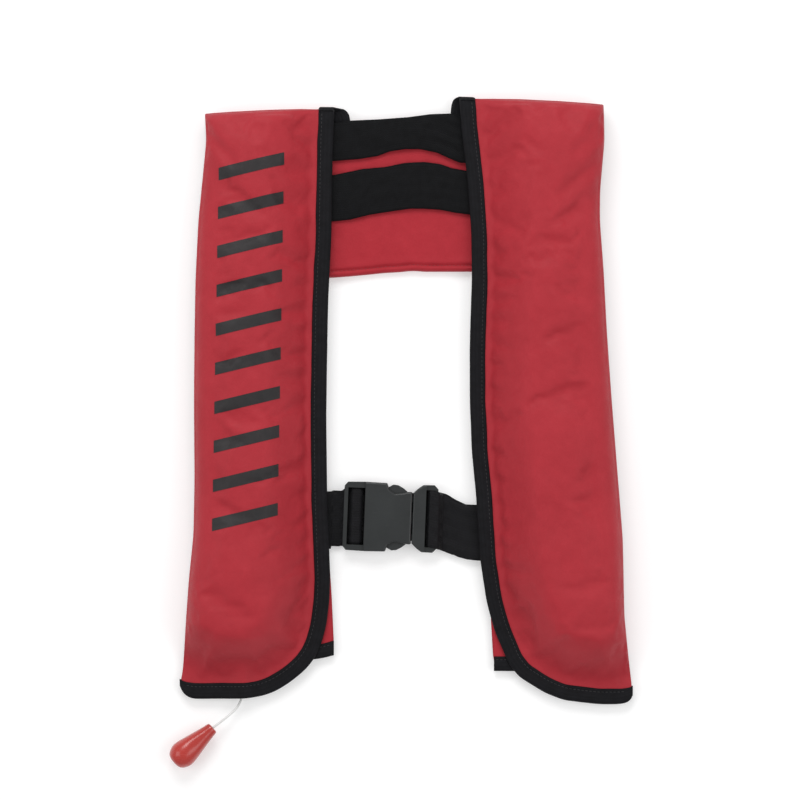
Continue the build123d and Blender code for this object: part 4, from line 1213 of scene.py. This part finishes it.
def buckle_points(u, v, w):
    """Points given along (u), across (v) and above (w) the buckle's own axes."""
    cosine, sine = math.cos(BUCKLE_ANGLE), math.sin(BUCKLE_ANGLE)
    return np.column_stack([BUCKLE_X + u * cosine - v * sine, BUCKLE_Y + u * sine + v * cosine,
                            BUCKLE_Z + w])


def belt_left_run():
    """Flat from the side, then up over the buckle's bar and down behind it."""
    u, w = rounded_run([(-52.0, 0.9), (-44.0, 0.9), (-38.6, 1.0), (-35.6, 5.6), (-34.0, 7.25),
                        (-27.6, 7.3), (-25.6, 6.0), (-25.1, 1.2)], 2.4).T
    x = np.linspace(BELT_LEFT_X, buckle_points(-53.5, 0, 0)[0, 0], 60)
    low = [(-159, -314.2), (-66, -315.0), (-60, -314.8), (-54, -313.6), (-40, -313.2)]
    high = [(-159, -264.2), (-62, -263.4), (-40, -263.2)]
    flat_low, flat_high = edges_along_x(x, y_at(low, x), y_at(high, x), BELT_Z)
    half_width = 25.3
    shift = -3.2 * (1 - ease((u + 45.5) / 6.0))
    lower = -half_width + shift + 0.6 * (shift < -1)
    return ribbon("waist_belt_left_run",
                  np.vstack([flat_low, buckle_points(u, lower, w)]),
                  np.vstack([flat_high, buckle_points(u, half_width + shift, w)]),
                  1.6, WEBBING, count=21,
                  wave=lambda s, u: 0.22 * np.sin(s / 9.0 + 4 * u) * np.where(s < 100, 1, 0.2),
                  centre=np.vstack([(flat_low + flat_high) / 2, buckle_points(u, shift, w)]))


# Edges of the run behind the buckle and under the panels, as X, Y
BACK_RUN_HIGH = [
    (-159, -264.2), (-60, -264.0), (-51.5, -263.4), (-47.5, -258.4), (-31, -258.4),
    (-25, -261.6), (-15, -264.8), (12.5, -265.0), (18, -261.8), (27, -262.0), (42, -266.0),
    (50, -271.0), (60, -275.6), (80, -276.4), (158, -276.2)]
BACK_RUN_LOW = [
    (-159, -314.2), (-60, -312.5), (-51.5, -312.4), (-47.5, -312.2), (-31, -312.0),
    (-15, -308.0), (12.5, -307.8), (18, -313.4), (27, -313.6), (36, -313.4), (45, -315.6),
    (52, -319.0), (60, -321.6), (80, -324.0), (158, -325.2)]


def belt_back_run():
    x = np.linspace(BELT_LEFT_X, 158.0, 320)
    low, high = y_at(BACK_RUN_LOW, x), y_at(BACK_RUN_HIGH, x)
    for edge in (low, high):
        edge[1:-1] = np.convolve(edge, np.ones(3) / 3.0, "valid")
    return ribbon("waist_belt_back_run", *edges_along_x(x, low, high, 2.3), 1.5, WEBBING,
                  count=17)


def belt_turn():
    """Half turn at the left end that joins the two runs."""
    t = np.linspace(-math.pi / 2, math.pi / 2, 10)
    radius = 0.95
    centre = np.column_stack([BELT_LEFT_X - radius * np.cos(t), np.full(10, -289.2),
                              3.25 + radius * np.sin(t)])
    half_width = floats([0, 25.0, 0])
    return ribbon("waist_belt_turn", centre - half_width, centre + half_width, 1.3, WEBBING,
                  count=9)


ride(join([belt_left_run(), belt_back_run(), belt_turn()], "waist_belt_webbing"),
     "front", "waist_belt")


def adjuster_layer(name, run, low_v, high_v, x, low_y, high_y, z, thick, wave):
    """Webbing round the male half's bar, then flat along X.

    run is u, w at the buckle; low_v and high_v are its edges as u, v, low_y and high_y as X, Y."""
    u, w = run.T
    around = [buckle_points(u, y_at(edge, u), w) for edge in (low_v, high_v)]
    flat = edges_along_x(x, y_at(low_y, x), y_at(high_y, x), z)
    edges = [np.vstack(pair) for pair in zip(around, flat)]
    return ribbon(name, *edges, thick, WEBBING, wave=wave, count=21)


strap_main = adjuster_layer(
    "strap_main",
    run=rounded_run([(33.0, 1.2), (33.0, 5.8), (34.6, 8.45), (41.8, 8.5), (43.5, 4.9),
                     (44.8, 1.9), (47.4, 0.9), (56.0, 0.9)], 2.2),
    low_v=[(38, -25.3), (45, -27.2), (50, -29.0), (56, -31.4)],
    high_v=[(38, 25.3), (42, 24.4), (45, 22.6), (50, 20.0), (56, 17.4)],
    x=np.linspace(49.5, 156.0, 70),
    low_y=[(49.5, -320.6), (54, -322.6), (60, -324.2), (72, -325.6), (156, -326.4)],
    high_y=[(49.5, -272.0), (54, -274.6), (58, -275.4), (72, -276.0), (156, -276.6)],
    z=BELT_Z, thick=1.6, wave=lambda s, u: 0.2 * np.sin(s / 8.0 + 4 * u))
# the tail comes back over the bar and lies on top, a little off line
tail_x = np.linspace(46.5, 132.0, 60)
strap_tail = adjuster_layer(
    "strap_tail",
    run=rounded_run([(34.4, 10.0), (42.8, 10.1), (45.0, 5.6), (46.5, 2.9), (49.0, 2.65),
                     (53.0, 2.75)], 2.4),
    low_v=[(34, -25.0), (38.5, -25.8), (45, -27.4), (53, -30.3)],
    high_v=[(34, 25.2), (36, 25.2), (40, 25.0), (43.6, 24.1), (48, 22.3), (53, 19.9)],
    x=tail_x,
    low_y=[(46.5, -319.6), (52, -322.2), (60, -324.4), (70, -325.5), (132, -326.2)],
    high_y=[(46.5, -269.9), (50, -271.9), (54, -274.1), (58, -275.0), (70, -275.5),
            (132, -275.8)],
    z=5.95 + 0.35 * np.sin(tail_x / 7.0), thick=1.5,
    wave=lambda s, u: 0.25 * np.sin(s / 10.0 + 3 * u + 1))
ride(join([strap_main, strap_tail], "adjuster_strap_webbing"), "buckle_male",
     "belt_adjuster_strap")


def belt_loop(side, x):
    low_y, high_y, low_z = -346.6, -240.0, 0.75
    run = rounded_run([(low_y, panel_z(-346.0) - 0.5), (low_y, low_z), (high_y, low_z),
                       (high_y, panel_z(high_y) - 0.5)], 1.5, 2.5)
    centre = np.column_stack([np.full(len(run), x), run])
    half_width = floats([12.5, 0, 0])
    ride(ribbon(side + "_belt_loop_tape", centre - half_width, centre + half_width, 1.2,
                BINDING, count=11), "front", side + "_belt_loop")


belt_loop("left", -120.0)
belt_loop("right", 120.0)

# ---------------------------------------------------------------- pull handle and cord
GRIP_START, GRIP_AIM = floats([-167.3, -474.5, 12.0]), floats([-0.746, -0.666, 0.0])
# Grip profile and the cord's bore in its end: length along the grip, radius
GRIP_PROFILE = [
    (0.0, 1.7), (0.02, 3.4), (0.3, 4.5), (0.9, 5.1), (2.5, 5.5), (6.0, 6.1), (12.0, 7.3),
    (18.0, 8.6), (24.0, 9.9), (29.0, 11.0), (32.5, 11.6), (35.0, 11.85), (37.4, 11.7),
    (39.6, 11.1), (42.0, 10.0), (43.9, 8.8), (45.4, 7.2), (46.2, 5.4), (46.6, 3.4),
    (46.8, 1.4), (46.8, 0.4)]
GRIP_BORE = [(7.0, 1.35), (0.6, 1.4), (0.1, 1.7)]
CORD_PATH = [
    (-141.5, -349.0, 18.6), (-141.5, -355.0, 16.4), (-141.5, -363.0, 13.0),
    (-141.5, -374.0, 11.6), (-141.5, -390.0, 11.1), (-141.5, -399.0, 10.2),
    (-141.5, -408.0, 8.7), (-141.5, -420.0, 7.1), (-141.5, -433.0, 5.6), (-141.5, -445.0, 4.6),
    (-142.3, -449.9, 4.8), (-146.4, -457.2, 7.2), (-155.4, -465.6, 10.6),
    tuple(GRIP_START), tuple(GRIP_START + GRIP_AIM * 6.9)]


def pull_grip():
    axis = unit(GRIP_AIM)
    across = unit(np.cross(axis, UP))
    normal = np.cross(across, axis)
    cosine, sine = circle(72)
    rings = [GRIP_START + axis * length + (across * cosine + normal * sine) * radius
             for length, radius in GRIP_BORE]
    for length, radius in smooth_line(GRIP_PROFILE, 90):
        radius = max(radius, 0.2)
        mould_line = 0.16 * bell(sine * radius / 0.45) * min(1, radius / 6.0)
        thumb_hollow = 0.5 * bell((length - 21.0) / 9.0) * np.maximum(0.0, sine) ** 6
        rings.append(GRIP_START + axis * length + across * cosine * (radius + mould_line)
                     + normal * sine * (radius * 0.93 - thumb_hollow))
    ride(loft("pull_handle_grip", rings, HANDLE), "pull_handle", "pull_handle")


def pull_cord(sides=14, radius=1.02):
    line = resample(smooth_line(CORD_PATH, 420), 420)
    s = arc_length(line)
    t = np.linspace(0, math.tau, sides, endpoint=False)
    twist = s[:, None] * 2.6
    braid = 0.10 * np.sin(4 * t + twist) + 0.10 * np.sin(4 * t - twist)
    rings = tube_rings(line, UP, sides, (radius + braid)[..., None])
    ride(loft("pull_cord_braid", rings, CORD, ring_uv(t * 1.1, s)), "pull_handle", "pull_cord")


def stop_knot(turns=3.0):
    """A few turns of cord wound side by side along Y."""
    t = np.linspace(0, turns, 150)
    angle = t * math.tau
    radius = 1.35 + 0.25 * np.sin(angle * 0.5)
    line = np.column_stack([-141.5 + radius * np.cos(angle), -346.4 + (t - turns / 2) * 0.95,
                            18.6 + radius * np.sin(angle)])
    ride(loft("cord_stop_knot", tube_rings(line, [0, 1.0, 0], 12, 1.0), CORD), "pull_handle",
         "cord_knot")


pull_grip()
pull_cord()
stop_knot()

# ---------------------------------------------------------------- hard parts
# The loaded pieces themselves: material, width of the broken edges (0 leaves the mesh alone)
FINISH = {
    "buckle_female": (BUCKLE, 0.28), "buckle_male": (BUCKLE, 0.28),
    "upper_prong": (BUCKLE, 0.3), "lower_prong": (BUCKLE, 0.3),
    "inflator_body": (INFLATOR, 0.5), "lever_pivot_pin": (STAINLESS, 0.15),
    "inflator_stem": (BRASS, 0.15), "stem_cap_nut": (BRASS, 0.3),
    "firing_lever": (INFLATOR, 0.4), "firing_pin": (STAINLESS, 0.05),
    "pin_return_spring": (STAINLESS, 0.0), "sealing_washer": (RUBBER, 0.1),
    "co2_cylinder": (ZINC, 0.2), "tube_flange": (TUBE, 0.4), "oral_tube": (TUBE, 0.3),
    "oral_valve_body": (VALVE, 0.3), "valve_plunger": (STAINLESS, 0.15),
    "valve_spring": (STAINLESS, 0.0), "oral_dust_cap": (CAP, 0.3),
    "whistle": (WHISTLE, 0.35), "whistle_lanyard": (CORD, 0.0)}


def modify(o, kind, **settings):
    modifier = o.modifiers.new(kind.lower(), kind)
    for key, value in settings.items():
        setattr(modifier, key, value)


def finish_piece(o, mat, edge):
    me = o.data
    me.materials.clear()
    me.materials.append(mat)
    me.polygons.foreach_set("material_index", np.zeros(len(me.polygons), np.int32))
    if mat is CORD and not me.uv_layers:
        me.uv_layers.new(name="UVMap")
    if edge:
        modify(o, "WELD", merge_threshold=0.00001)
        modify(o, "BEVEL", width=edge * MM, segments=3, limit_method="ANGLE",
               angle_limit=math.radians(34), use_clamp_overlap=True, harden_normals=False,
               loop_slide=False)
        me.polygons.foreach_set("use_smooth", np.full(len(me.polygons), True))
        modify(o, "WEIGHTED_NORMAL", keep_sharp=False, weight=80)


def spring(name):
    """A copy of a coil that shortens between its seat and the piece that moves."""
    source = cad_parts[name]
    me = source.data.copy()
    me.transform(source.matrix_world)
    me.name = name + "_coil"
    o = bpy.data.objects.new(name + "_coil", me)
    bpy.context.scene.collection.objects.link(o)
    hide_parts(name)
    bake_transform(o)


for name, (mat, edge) in FINISH.items():
    finish_piece(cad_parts[name], mat, edge)
spring("pin_return_spring")
spring("valve_spring")


# ---------------------------------------------------------------- stage, light and camera
def floor(half=3, z=-0.0004):
    me = bpy.data.meshes.new("floor")
    me.from_pydata([(-half, -half, z), (half, -half, z), (half, half, z), (-half, half, z)], [],
                   [(0, 1, 2, 3)])
    o = bpy.data.objects.new("floor", me)
    bpy.context.scene.collection.objects.link(o)
    m = Shader("floor_paper", rough=0.9, spec=0.1)
    mottle = m.noise(m.coords("Object"), scale=3.0, detail=2, rough=0.55)
    m.finish(m.mix(m.remap(mottle, (0.3, 0.7), (0, 1)), (0.70, 0.70, 0.70),
                   (0.72, 0.72, 0.72)))
    m.inputs["Emission Color"].default_value = (1, 1, 1, 1)
    m.inputs["Emission Strength"].default_value = 0.34
    me.materials.append(m.material)


def studio_world(strength):
    world = bpy.data.worlds.new("studio")
    bpy.context.scene.world = world
    world.use_nodes = True
    background = world.node_tree.nodes["Background"]
    background.inputs["Color"].default_value = (1, 1, 1, 1)
    background.inputs["Strength"].default_value = strength


def area_light(name, location, target, size, power):
    light = bpy.data.lights.new(name, "AREA")
    light.shape = "RECTANGLE"
    light.size, light.size_y = size
    light.energy = power
    light.color = (1, 1, 1)
    o = bpy.data.objects.new(name, light)
    bpy.context.scene.collection.objects.link(o)
    o.location = location
    aim = Vector(target) - Vector(location)
    o.rotation_euler = aim.to_track_quat("-Z", "Y").to_euler()


def camera(lens=200.0, sensor=36.0, view_width=0.712, view_z=0.03):
    """Looks straight down and sees view_width metres at height view_z."""
    data = bpy.data.cameras.new("cam")
    data.sensor_width = sensor
    data.lens = lens
    data.clip_start, data.clip_end = 0.1, 20.0
    o = bpy.data.objects.new("cam", data)
    bpy.context.scene.collection.objects.link(o)
    o.location = (0.0, -0.1816, view_width * lens / sensor + view_z)
    bpy.context.scene.camera = o


floor()
studio_world(strength=0.56)
area_light("key", location=(-0.25, 1.35, 1.55), target=(0.0, -0.1, 0.0), size=(1.3, 1.0),
           power=22.0)
area_light("fill", location=(1.3, -0.4, 1.6), target=(0.0, -0.2, 0.0), size=(1.4, 1.4),
           power=10.0)
area_light("fill_left", location=(-1.5, -0.3, 1.4), target=(0.0, -0.2, 0.0), size=(1.2, 1.2),
           power=7.0)
camera()
view = bpy.context.scene.view_settings
view.view_transform = "Standard"
view.look = "None"
view.exposure = 0.0
view.gamma = 1.0

bpy.context.view_layer.update()
